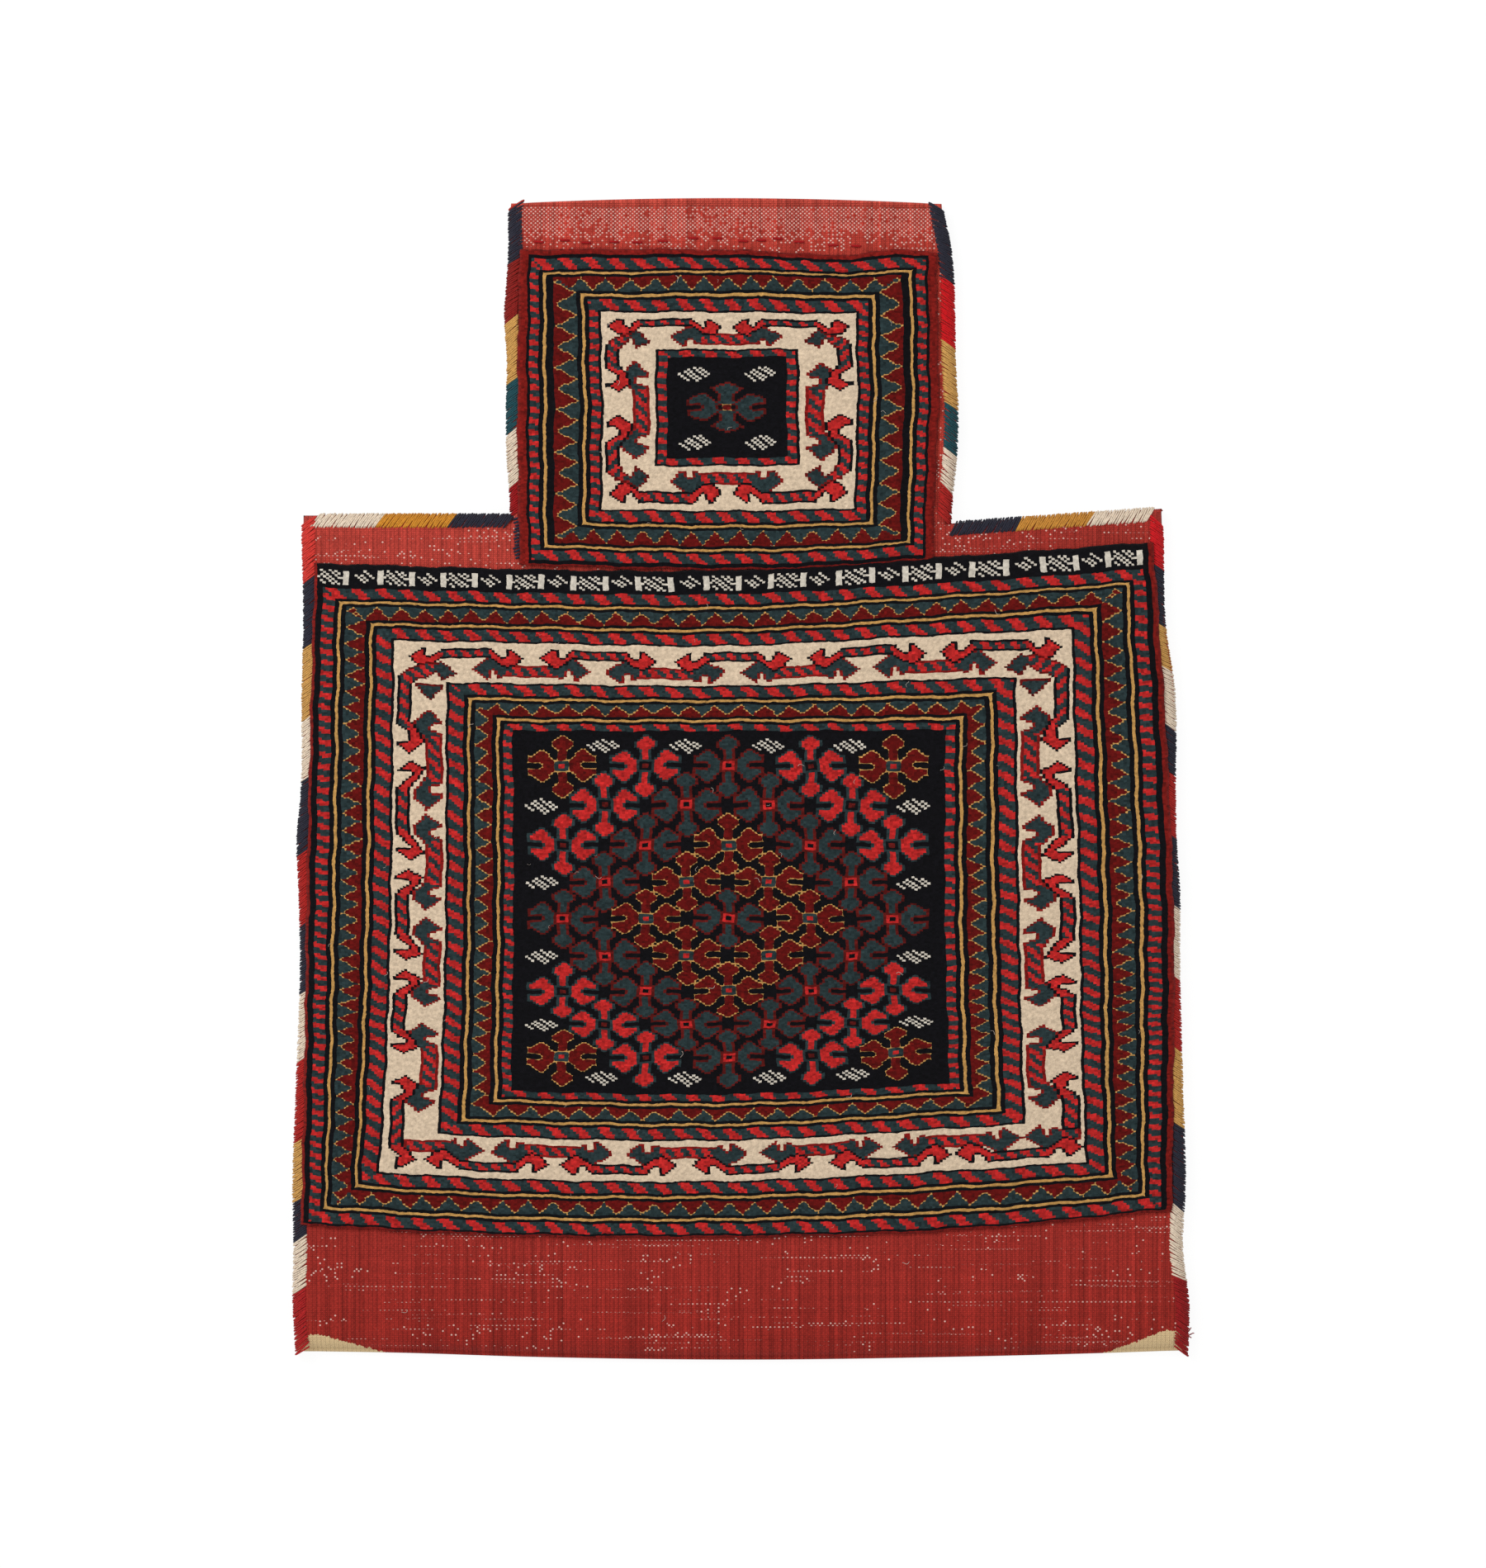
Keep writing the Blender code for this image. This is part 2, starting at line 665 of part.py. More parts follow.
def band_sides(ground, outer, inner):
    """Each side of a band: its run, its depth, where it starts and how it is turned.

    A side's own u runs anticlockwise along the ground's edge and its v points to the middle.
    """
    side, foot, top = outer
    deep, deep_foot, deep_top = [b - a for a, b in zip(outer, inner)]
    wide = ground.width - 2 * inner[0]
    tall = ground.height - inner[1] - inner[2]
    return (
        ("wide", wide, deep_foot, (inner[0], foot), 0),
        ("tall", tall, deep, (ground.width - side, inner[1]), 1),
        ("wide", wide, deep_top, (ground.width - inner[0], ground.height - top), 2),
        ("tall", tall, deep, (side, ground.height - inner[2]), 3),
    )


def spread(length, pitch):
    """How many copies fit a run at about this pitch, and their exact step."""
    count = max(1, round(length / pitch))
    return count, length / count


def add_guard_marks(pattern, ground, sides, pitches):
    """Slanted red marks along a green guard band, level with it."""
    for way, length, depth, start, turn in sides:
        count, step = spread(length, pitches[way == "tall"])
        low, high = depth * MARK_MARGIN, depth * (1 - MARK_MARGIN)
        slant = step * (MARK_SLANT if turn % 2 == 0 else -MARK_SLANT)
        half = step * MARK_HALF_WIDTH
        for index in range(count):
            u = step * (index + 0.5)
            mark = [(u + slant - half, low), (u + slant + half, low),
                    (u - slant + half, high), (u - slant - half, high)]
            pattern.add(ground.shape(mark, *start, turn), "red_wool", 0.0)


def add_teeth(pattern, ground, sides, pitches, inward):
    """A dark red saw edge on each side of a band, which points to the middle or away from it."""
    for way, length, depth, start, turn in sides:
        count, step = spread(length, pitches[way == "tall"])
        root = depth - 2 * TOOTH_ROOT
        back = [length] + ground.run_bends(start, length, turn)[::-1] + [0.0]
        line = [(u, depth - TOOTH_ROOT) for u in back] + [(0.0, root)]
        for index in range(count):
            line += [(step * (index + 0.5), TOOTH_ROOT), (step * (index + 1), root)]
        if inward:
            line = [(u, depth - v) for u, v in line]
        pattern.add(ground.shape(line, *start, turn), "dark_red_wool", CREST_RELIEF)


def add_border_figures(pattern, ground, sides, pitches, span):
    """Two rows of double-headed figures along each side, set off from each other by half a step."""
    for way, length, depth, start, turn in sides:
        count, step = spread(length, pitches[way == "tall"])
        outline = double_head_outline(min(span, step * FIGURE_FILL), depth * FIGURE_DEPTH)
        for index in range(count):
            figure = [(step * (index + 0.5) - u, depth * OUTER_FIGURES - v) for u, v in outline]
            pattern.add(ground.shape(figure, *start, turn), "red_wool", CREST_RELIEF)
        for index in range(count - 1):
            figure = [(step * (index + 1) + u, depth * INNER_FIGURES + v) for u, v in outline]
            pattern.add(ground.shape(figure, *start, turn), "dark_red_wool", CREST_RELIEF)


def add_bands(pattern, ground, bands, top_extra, pitches, span):
    """The frame of bands, each a ring on the dark ground."""
    for kind, side, side_width, end, end_width in bands:
        outer = (side, end, end + top_extra)
        inner = (side + side_width, end + end_width, end + end_width + top_extra)
        colour, relief = BAND_FINISH[kind]
        pattern.add(ground.ring(*outer), colour, relief)
        sides = band_sides(ground, outer, inner)
        if kind == "guard":
            add_guard_marks(pattern, ground, sides, pitches[kind])
        if kind in ("teeth", "teeth_inward"):
            add_teeth(pattern, ground, sides, pitches[kind], kind == "teeth_inward")
        if kind == "figures":
            add_border_figures(pattern, ground, sides, pitches[kind], span)
        pattern.add(ground.ring(*inner), "dark_wool", GROUND_RELIEF)


def add_flower(pattern, ground, a, b, colour):
    """One flower head with its red centre."""
    pattern.add(ground.shape(flower_outline(FLOWER_SPAN, FLOWER_HEIGHT), a, b), colour, 0.0)
    centre = diamond_outline(FLOWER_CENTRE, FLOWER_CENTRE)
    pattern.add(ground.shape(centre, a, b), "red_wool", 0.0)


def add_field(pattern, ground, centre_b):
    """The body's field: flower heads in a lattice, and hatched diamonds along its edges."""
    centre_a = ground.width / 2
    step_a, step_b = FLOWER_STEP
    for across in range(-FLOWER_ROWS, FLOWER_ROWS + 1):
        for up in range(-FLOWER_ROWS, FLOWER_ROWS + 1):
            a = centre_a + across * step_a
            b = centre_b + up * step_b
            if (across + up) % 2 == 0:
                colour = FLOWER_COLOURS[(abs(across) + abs(up)) // 2 % len(FLOWER_COLOURS)]
                add_flower(pattern, ground, a, b, colour)
            elif abs(across) == FLOWER_ROWS:
                out = a + math.copysign(step_a * HATCH_OUT[0], across)
                hatch = ground.shape(diamond_outline(*HATCH), out, b)
                pattern.add(hatch, "cream_wool", GROUND_RELIEF)
            elif abs(up) == FLOWER_ROWS:
                out = b + math.copysign(step_b * HATCH_OUT[1], up)
                hatch = ground.shape(diamond_outline(*HATCH), a, out)
                pattern.add(hatch, "cream_wool", GROUND_RELIEF)


def add_top_band(pattern, ground):
    """The cream blocks and diamonds in turn along the body's upper edge."""
    count, step = spread(ground.width - TOP_BAND_PITCH / 2, TOP_BAND_PITCH)
    middle = ground.height - TOP_BAND * TOP_BAND_CENTRE
    for index in range(count):
        a = TOP_BAND_PITCH / 4 + step * (index + 0.5)
        pattern.add(ground.shape(block_outline(*TOP_BAND_BLOCK), a, middle), "cream_wool", 0.0)
        if index:
            between_blocks = a - step / 2
            diamond = diamond_outline(*TOP_BAND_DIAMOND)
            pattern.add(ground.shape(diamond, between_blocks, middle), "cream_wool", GROUND_RELIEF)


def add_body_pile(collection, materials):
    """The body's pile with its borders and its field."""
    last = len(FRONT_ROWS[0][1]) - 2
    underside = grid_part("pile_foot", "pile_top", 1, last)
    pattern = Pattern(outline_of(underside), "red_wool")
    low, high = underside[0], underside[-1]
    ground = Ground(
        BODY_PATTERN, (side_line(underside, 0), side_line(underside, -1)),
        ((GROUND_INSET_FOOT_LEFT, GROUND_INSET_TOP_LEFT),
         (GROUND_INSET_FOOT_RIGHT, GROUND_INSET_TOP_RIGHT)),
        (low[0][1] + GROUND_EDGE, low[-1][1] + GROUND_EDGE),
        (high[0][1] - GROUND_EDGE, high[-1][1] - GROUND_EDGE),
        (PILE_FOOT_SAG, PILE_TOP_SAG))
    pattern.add(ground.ring(0.0, 0.0, 0.0), "dark_wool", GROUND_RELIEF)
    add_top_band(pattern, ground)
    add_bands(pattern, ground, BODY_BANDS, TOP_BAND, BODY_PITCHES, FIGURE_SPAN)
    add_field(pattern, ground, (ground.height - TOP_BAND) / 2)
    return add_pile("body_pile", pattern, underside, collection, materials)


def add_neck_pile(collection, materials):
    """The neck's pile with its borders and its one flower head."""
    underside = grid_part("neck_pile_foot", "hem", NECK_FIRST + 1, NECK_LAST - 1)
    pattern = Pattern(outline_of(underside), "red_wool")
    low, high = underside[0], underside[-1]
    foot_y = max(y for x, y in low) + GROUND_EDGE
    top_y = high[0][1] - GROUND_EDGE
    insets = (NECK_GROUND_INSET, NECK_GROUND_INSET)
    ground = Ground(
        NECK_PATTERN, (side_line(underside, 0), side_line(underside, -1)), (insets, insets),
        (foot_y, foot_y), (top_y, top_y), (0.0, 0.0))
    pattern.add(ground.ring(0.0, 0.0, 0.0), "dark_wool", GROUND_RELIEF)
    add_bands(pattern, ground, NECK_BANDS, 0.0, NECK_PITCHES, NECK_FIGURE_SPAN)
    add_flower(pattern, ground, ground.width / 2, ground.height / 2, FLOWER_COLOURS[0])
    return add_pile("neck_pile", pattern, underside, collection, materials)


def linear_material(name, colour):
    """A plain wool material."""
    material = bpy.data.materials.new(name)
    material.use_nodes = True
    shader = material.node_tree.nodes["Principled BSDF"]
    shader.inputs["Base Color"].default_value = (*colour, 1.0)
    shader.inputs["Roughness"].default_value = 0.9
    shader.inputs["Metallic"].default_value = 0.0
    return material


def binding_section():
    """The yarn's section at an edge: pairs of the way inward from the cloth's edge and the height."""
    bottom = BACK_LIFT - BINDING_CLEARANCE
    lap_rise = front_lap_height(BINDING_LAP)
    edge_top = BACK_LIFT + SEAM_THICKNESS
    out = -EDGE_MARGIN
    lap_foot = BACK_LIFT * (1 - BINDING_LAP / ROLL) - BINDING_CLEARANCE
    lift = BINDING_CLEARANCE * BINDING_RISE
    return [
        (BINDING_LAP, 0.0), (0.0, 0.0), (out, BINDING_WALL * BINDING_BELLY),
        (out, edge_top - BINDING_WALL * BINDING_SHOULDER), (0.0, edge_top + BINDING_WALL + lift),
        (BINDING_LAP, lap_rise + BINDING_WALL + lift),
        (BINDING_LAP, lap_rise + lift), (-BINDING_CLEARANCE, edge_top + BINDING_CLEARANCE),
        (-BINDING_CLEARANCE, bottom), (BINDING_LAP, lap_foot)]


def front_lap_height(inward):
    """The cloth's upper face near a bound edge, straight from the edge to the pile's edge."""
    rise = math.sqrt(1 - (1 - PILE_EDGE / ROLL) ** 2)
    at_pile = BACK_LIFT * (1 - PILE_EDGE / ROLL) + mix(SEAM_THICKNESS, MIDDLE_THICKNESS, rise)
    return mix(BACK_LIFT + SEAM_THICKNESS, at_pile, inward / PILE_EDGE)


def edge_runs():
    """Each bound edge: the cloth's edge as points from its start to its end, and the way inward."""
    fold_left, fold_right = FRONT_ROWS[0][1][0], FRONT_ROWS[0][1][-1]
    body_end = BINDING_CLEARANCE - SEAM_THICKNESS / 2
    corner_left, corner_right = BODY_LEFT[2][1], BODY_RIGHT[2][1]
    inner_step = BINDING_LAP + BLOCK_GAP
    neck_foot = EDGE_MARGIN + BLOCK_GAP

    def upright(stations, top, foot):
        heights = [top] + [y for y, x in reversed(stations) if foot < y < top] + [foot]
        return [Vector((along(stations, y), y)) for y in heights]

    def level(start_x, end_x):
        return [Vector((x, shoulder_y(x))) for x in (start_x, end_x)]

    return {
        "neck_left": (upright(NECK_LEFT, MOUTH_Y - MOUTH_DROP_LEFT * LEFT_BINDING_DROP,
                              shoulder_y(NECK_BASE_X[0]) + neck_foot), Vector((1, 0))),
        "neck_right": (upright(NECK_RIGHT, MOUTH_Y - MOUTH_DROP_RIGHT,
                               shoulder_y(NECK_BASE_X[1]) + neck_foot), Vector((-1, 0))),
        "shoulder_left": (level(corner_left + inner_step, NECK_BASE_X[0] - BLOCK_GAP),
                          Vector((0, -1))),
        "shoulder_right": (level(NECK_BASE_X[1] + BLOCK_GAP, corner_right - inner_step),
                           Vector((0, -1))),
        "body_left": (upright(BODY_LEFT, shoulder_y(corner_left) + EDGE_MARGIN,
                              fold_left[1] + body_end), Vector((1, 0))),
        "body_right": (upright(BODY_RIGHT, shoulder_y(corner_right) + EDGE_MARGIN,
                               fold_right[1] + body_end), Vector((-1, 0))),
    }


def stretch(points, start, end):
    """The part of a line of points between two lengths along it."""
    lengths = [0.0]
    for low, high in zip(points, points[1:]):
        lengths.append(lengths[-1] + (high - low).length)

    def at(length):
        for index in range(len(points) - 1):
            if length <= lengths[index + 1] or index == len(points) - 2:
                share = (length - lengths[index]) / (lengths[index + 1] - lengths[index])
                return points[index].lerp(points[index + 1], share)

    inner = [point for point, length in zip(points, lengths) if start < length < end]
    return [at(start)] + inner + [at(end)]


def add_bindings(collection, materials):
    """One sleeve of yarn for each block of colour along each bound edge."""
    section = binding_section()
    for edge, (points, inward) in edge_runs().items():
        whole = sum((high - low).length for low, high in zip(points, points[1:]))
        blocks = EDGE_BLOCKS[edge]
        scale = whole / sum(length for colour, length in blocks)
        start = 0.0
        for index, (colour, length) in enumerate(blocks):
            end = start + length * scale
            gap = BLOCK_GAP if index < len(blocks) - 1 else 0.0
            name = f"binding_{edge}_{index + 1:02d}_{colour}"
            places = stretch(points, start, end - gap)
            add_sleeve(name, places, inward, section, materials[colour + "_yarn"], collection)
            start = end


def add_sleeve(name, places, inward, section, material, collection):
    """The section carried along an edge and closed at both ends."""
    mesh = bmesh.new()
    rings = []
    for place in places:
        ring = []
        for step, height in section:
            x, y = place + inward * step
            ring.append(mesh.verts.new((x, y, height)))
        rings.append(ring)
    for low, high in zip(rings, rings[1:]):
        for index in range(len(section)):
            after = (index + 1) % len(section)
            mesh.faces.new((low[index], low[after], high[after], high[index]))
    mesh.faces.new(rings[0])
    mesh.faces.new(rings[-1][::-1])
    bmesh.ops.recalc_face_normals(mesh, faces=mesh.faces)
    return finished_object(name, mesh, [material], collection)


def clear_scene():
    """Remove whatever the scene holds."""
    for item in list(bpy.data.objects):
        bpy.data.objects.remove(item, do_unlink=True)


def main():
    """Build the bag."""
    clear_scene()
    collection = bpy.data.collections.new("salt_bag")
    bpy.context.scene.collection.children.link(collection)
    materials = {name: linear_material(name, colour) for name, colour in COLOURS.items()}
    add_woven_cloth(collection, materials)
    add_body_pile(collection, materials)
    add_neck_pile(collection, materials)
    add_bindings(collection, materials)


main()
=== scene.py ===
"""A pile-woven salt bag lying on its back: knotted pile, plain weave and wound yarn edges."""

import math

import bmesh
import bpy
import numpy as np
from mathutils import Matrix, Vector


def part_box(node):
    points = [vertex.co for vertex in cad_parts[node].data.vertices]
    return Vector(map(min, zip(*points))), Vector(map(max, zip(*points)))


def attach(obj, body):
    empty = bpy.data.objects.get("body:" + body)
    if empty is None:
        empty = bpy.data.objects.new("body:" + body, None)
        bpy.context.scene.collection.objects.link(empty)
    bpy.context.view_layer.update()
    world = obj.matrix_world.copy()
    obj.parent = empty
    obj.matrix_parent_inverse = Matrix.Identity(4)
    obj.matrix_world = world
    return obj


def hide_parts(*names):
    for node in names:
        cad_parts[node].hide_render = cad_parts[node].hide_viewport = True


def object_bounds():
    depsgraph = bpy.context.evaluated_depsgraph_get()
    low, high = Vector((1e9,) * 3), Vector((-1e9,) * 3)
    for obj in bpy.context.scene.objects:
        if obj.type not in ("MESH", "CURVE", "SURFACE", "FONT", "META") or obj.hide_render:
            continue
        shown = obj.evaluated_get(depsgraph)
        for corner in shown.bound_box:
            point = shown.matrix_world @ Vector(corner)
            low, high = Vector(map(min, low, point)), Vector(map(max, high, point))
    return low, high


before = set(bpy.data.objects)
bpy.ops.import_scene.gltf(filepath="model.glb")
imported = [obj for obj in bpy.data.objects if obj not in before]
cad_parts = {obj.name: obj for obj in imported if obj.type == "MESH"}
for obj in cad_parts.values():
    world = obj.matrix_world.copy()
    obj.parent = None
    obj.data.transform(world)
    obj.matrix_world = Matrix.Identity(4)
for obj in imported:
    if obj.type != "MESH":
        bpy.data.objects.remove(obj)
cad_low, cad_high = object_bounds()

# The photograph's scale, the point of it that is the model's origin, and its middle and height
METRES_PER_PIXEL = 0.00041
ORIGIN_PIXEL = (898.0, 943.5)
IMAGE_CENTRE = (900.0, 949.5)
IMAGE_HEIGHT = 1899

# As the solids have them: the cloth's thickness, the whole bag's at its seams and in its middle,
# and how far in from a seam the bag is as thick as in its middle
CLOTH = 0.0018
SEAM_THICKNESS = 0.0046
MIDDLE_THICKNESS = 0.0101
ROLL = 0.010
# How far the back comes up at the seams and at the mouth, and where that second rise begins
BACK_LIFT = 0.0016
MOUTH_LIFT = 0.0042
MOUTH_LIFT_FROM = 0.262
# The height of the slow and the quick ripples on the front
RIPPLE = 0.00022
QUICK_RIPPLE = 0.00012
# How high the pile stands, and what keeps one layer clear of the next
PILE = 0.0032
CLEARANCE = 0.0002
# How far the cloth ends short of its bindings' outer edge, at the left and the right, in pixels
BINDING_REACH = (4.0, 2.4)
SEED = 11

# Wool colours, as they are seen
COLOURS = {
    "dark": (10, 9, 13),
    "red": (181, 36, 35),
    "dark_red": (94, 13, 11),
    "edge_red": (122, 20, 17),
    "faded_red": (88, 19, 16),
    "margin": (118, 22, 17),
    "green": (37, 51, 53),
    "gold": (188, 143, 80),
    "cream": (213, 191, 164),
    "white": (204, 196, 182),
}
NAMES = list(COLOURS)


def linear(colour):
    """A colour's linear values from the ones that a screen shows."""
    parts = np.asarray(colour, float) / 255.0
    return np.where(parts <= 0.04045, parts / 12.92, ((parts + 0.055) / 1.055) ** 2.4)


def spot(px, py):
    """The place in metres of a point of the photograph."""
    x = (np.asarray(px, float) - ORIGIN_PIXEL[0]) * METRES_PER_PIXEL
    y = (ORIGIN_PIXEL[1] - np.asarray(py, float)) * METRES_PER_PIXEL
    return x, y


def curve(places, values, at):
    """A smooth line through values at rising places, straight beyond its ends."""
    places = np.asarray(places, float)
    values = np.asarray(values, float)
    at = np.asarray(at, float)
    slopes = np.gradient(values, places)
    index = np.clip(np.searchsorted(places, at) - 1, 0, len(places) - 2)
    step = places[index + 1] - places[index]
    raw = (at - places[index]) / step
    t = np.clip(raw, 0.0, 1.0)
    start, end = values[index], values[index + 1]
    tilt_a, tilt_b = slopes[index] * step, slopes[index + 1] * step
    smooth = (
        start * (2 * t**3 - 3 * t**2 + 1) + tilt_a * (t**3 - 2 * t**2 + t)
        + end * (3 * t**2 - 2 * t**3) + tilt_b * (t**3 - t**2))
    return smooth + np.where(raw < 0, raw * tilt_a, 0) + np.where(raw > 1, (raw - 1) * tilt_b, 0)


# The bag's outline over its bindings, in pixels: height, left and right
NECK_OUTLINE = (
    (238, 616, 1142), (256, 614, 1144), (296, 614, 1152), (336, 612, 1156), (376, 609, 1157),
    (436, 612, 1158), (496, 611, 1161), (556, 612, 1159), (596, 615, 1155), (640, 616, 1152))
BODY_OUTLINE = (
    (612, 363, 1409), (636, 363, 1410), (756, 365, 1413), (836, 363, 1424), (956, 362, 1425),
    (1016, 357, 1426), (1076, 359, 1430), (1156, 361, 1430), (1316, 356, 1434),
    (1436, 352, 1437), (1516, 353, 1434), (1576, 352, 1441), (1650, 356, 1440))


# More lines of the photograph, in pixels: the shoulder, which runs on across the neck's base, the
# foot's lowest line, and between which heights the neck's and the body's edges are bound
SHOULDER_LINE = ((367, 623.9), (616, 623.9), (1148, 633.9), (1405, 615.8))
FOOT_LINE = (
    (360, 1638), (480, 1640), (640, 1645), (900, 1648.5), (1160, 1645), (1320, 1641), (1436, 1637))
NECK_HEIGHTS = (238, 629)
BODY_HEIGHTS = (620, 1640)
# The mouth: its middle and half width, the front's edge, and the back's edge and how far it arches
MOUTH_MIDDLE, MOUTH_HALF_WIDTH = 880.0, 262.0
FRONT_MOUTH = 250.5
BACK_MOUTH, BACK_MOUTH_ARCH = 238.5, 6.5


def edge_x(outline, side, py):
    """The cloth's left (0) or right (1) edge at a height of the photograph."""
    rows = [row[0] for row in outline]
    inset = BINDING_REACH[0] if side == 0 else -BINDING_REACH[1]
    return curve(rows, [row[1 + side] + inset for row in outline], py)


def shoulder_row(px):
    """The cloth's shoulder line, which runs on across the neck's base."""
    return np.interp(px, *zip(*SHOULDER_LINE))


def foot_row(px):
    """The lowest line of the foot."""
    return curve(*zip(*FOOT_LINE), px)


def mouth_row(px, front):
    """The mouth's edge: the front lies lower, and the back stands up behind it in an arch."""
    across = (np.asarray(px, float) - MOUTH_MIDDLE) / MOUTH_HALF_WIDTH
    if front:
        return FRONT_MOUTH + 1.2 * across**2 + 0.8 * np.sin(across * 9.0)
    return BACK_MOUTH + BACK_MOUTH_ARCH * across**2


def seam_points():
    """The bound edges in metres, as one line of points for each."""
    runs = []
    for side in (0, 1):
        neck = np.linspace(*NECK_HEIGHTS, 30)
        body = np.linspace(*BODY_HEIGHTS, 60)
        runs.append(np.stack(spot(edge_x(NECK_OUTLINE, side, neck), neck), -1))
        runs.append(np.stack(spot(edge_x(BODY_OUTLINE, side, body), body), -1))
    ends = [px for px, _ in SHOULDER_LINE]
    for start, end in (ends[:2], ends[2:]):
        along = np.linspace(start, end, 20)
        runs.append(np.stack(spot(along, shoulder_row(along)), -1))
    return runs


SEAMS = seam_points()


def distance_to_seam(x, y):
    """How far points of the bag lie from the nearest bound edge."""
    points = np.stack([np.ravel(x), np.ravel(y)], -1)
    nearest = np.full(len(points), 1.0)
    for run in SEAMS:
        for start, end in zip(run[:-1], run[1:]):
            way = end - start
            share = np.clip(((points - start) @ way) / (way @ way), 0.0, 1.0)
            gap = points - start - share[:, None] * way
            nearest = np.minimum(nearest, np.sqrt((gap**2).sum(-1)))
    return nearest.reshape(np.shape(x))


def back_height(x, y):
    """The height of the back's outer face, which comes up towards the front at the mouth."""
    seam = np.maximum(0.0, 1 - distance_to_seam(x, y) / ROLL)
    top = np.clip((np.asarray(y) - MOUTH_LIFT_FROM) / (cad_high[1] - MOUTH_LIFT_FROM), 0.0, 1.0)
    return BACK_LIFT * seam + MOUTH_LIFT * top**2 * (1 - seam)


def front_height(x, y):
    """The height of the front's outer face, which rolls down to every closed edge."""
    px = np.asarray(x) / METRES_PER_PIXEL + ORIGIN_PIXEL[0]
    foot = spot(px, foot_row(px))[1]
    inward = np.minimum(distance_to_seam(x, y), np.maximum(0.0, y - foot - SEAM_THICKNESS / 2))
    inward = np.minimum(inward, ROLL)
    rise = np.sqrt(np.maximum(0.0, 1 - (1 - inward / ROLL) ** 2))
    ripple = RIPPLE * np.sin(x * 61 + 1.3) * np.sin(y * 47 + 0.4) + QUICK_RIPPLE * np.sin(x * 170 + y * 90)
    thickness = SEAM_THICKNESS + (MIDDLE_THICKNESS - SEAM_THICKNESS) * rise
    lift = BACK_LIFT * np.maximum(0.0, 1 - distance_to_seam(x, y) / ROLL)
    return lift + thickness + ripple * rise


def in_scene(name, data):
    """An object of its own in the scene for a mesh, a lamp or a camera."""
    item = bpy.data.objects.new(name, data)
    bpy.context.scene.collection.objects.link(item)
    return item


def new_mesh_object(name, vertices, faces, materials=()):
    """A mesh object whose place is in its mesh."""
    data = bpy.data.meshes.new(name)
    data.from_pydata([tuple(v) for v in vertices], [], [tuple(f) for f in faces])
    data.update()
    for material in materials:
        data.materials.append(material)
    return in_scene(name, data)


def smooth(item):
    """Shade a piece smoothly."""
    item.data.shade_smooth()
    return item


def add_node(nodes, kind, inputs=(), **settings):
    """A new node with its settings and its inputs' values."""
    node = nodes.new(kind)
    for key, value in settings.items():
        setattr(node, key, value)
    for key, value in dict(inputs).items():
        node.inputs[key].default_value = value
    return node


def wool_material(name, attribute=None, colour=None, fibre=1400.0, bump=0.5, sheen=0.04, depth=0.0006):
    """Wool: a matt surface with fine fibres, and patchy dye."""
    material = bpy.data.materials.new(name)
    material.use_nodes = True
    nodes, links = material.node_tree.nodes, material.node_tree.links
    shader = nodes["Principled BSDF"]
    looks = {"Roughness": 0.92, "Specular IOR Level": 0.06, "Sheen Weight": sheen, "Sheen Roughness": 0.6}
    for key, value in looks.items():
        shader.inputs[key].default_value = value
    place = nodes.new("ShaderNodeTexCoord")
    tint = add_node(nodes, "ShaderNodeVectorMath", operation="SCALE")
    if attribute:
        source = add_node(nodes, "ShaderNodeAttribute", attribute_name=attribute)
        links.new(source.outputs["Color"], tint.inputs[0])
    else:
        tint.inputs[0].default_value = linear(colour)
    dye = add_node(nodes, "ShaderNodeTexNoise", {"Scale": fibre * 0.45, "Detail": 3.0})
    links.new(place.outputs["Object"], dye.inputs["Vector"])
    shade = add_node(
        nodes, "ShaderNodeMapRange", {"From Min": 0.3, "From Max": 0.7, "To Min": 0.8, "To Max": 1.16})
    links.new(dye.outputs["Fac"], shade.inputs["Value"])
    links.new(shade.outputs["Result"], tint.inputs["Scale"])
    links.new(tint.outputs["Vector"], shader.inputs["Base Color"])
    fibres = add_node(nodes, "ShaderNodeTexNoise", {"Scale": fibre, "Detail": 2.0})
    links.new(place.outputs["Object"], fibres.inputs["Vector"])
    relief = add_node(nodes, "ShaderNodeBump", {"Strength": bump, "Distance": depth})
    links.new(fibres.outputs["Fac"], relief.inputs["Height"])
    links.new(relief.outputs["Normal"], shader.inputs["Normal"])
    return material


# A knot's width and a row's height, as the pattern's outlines are drawn, in pixels
KNOT = 3.6
ROW = 2.5
# How far apart the guards' slanted blocks stand: across in knots, then up in rows on a wide and on
# a narrow guard. Then red's share of a guard, and how far apart the level saw teeth stand, in knots
GUARD_PITCHES = (8.35, 7.9, 5.5)
RED_SHARE = 0.46
LEVEL_TEETH = 8.3
# The length of one red and one green stripe on a figure, in pixels, how the stripes slant at the
# left, the right, the foot and the top, and half the striped bar's length
STRIPES = 17.0
STRIPE_SLANTS = (0.9, -0.9, 0.9, -0.9)
LEVEL_BAR, UPRIGHT_BAR = 31, 27

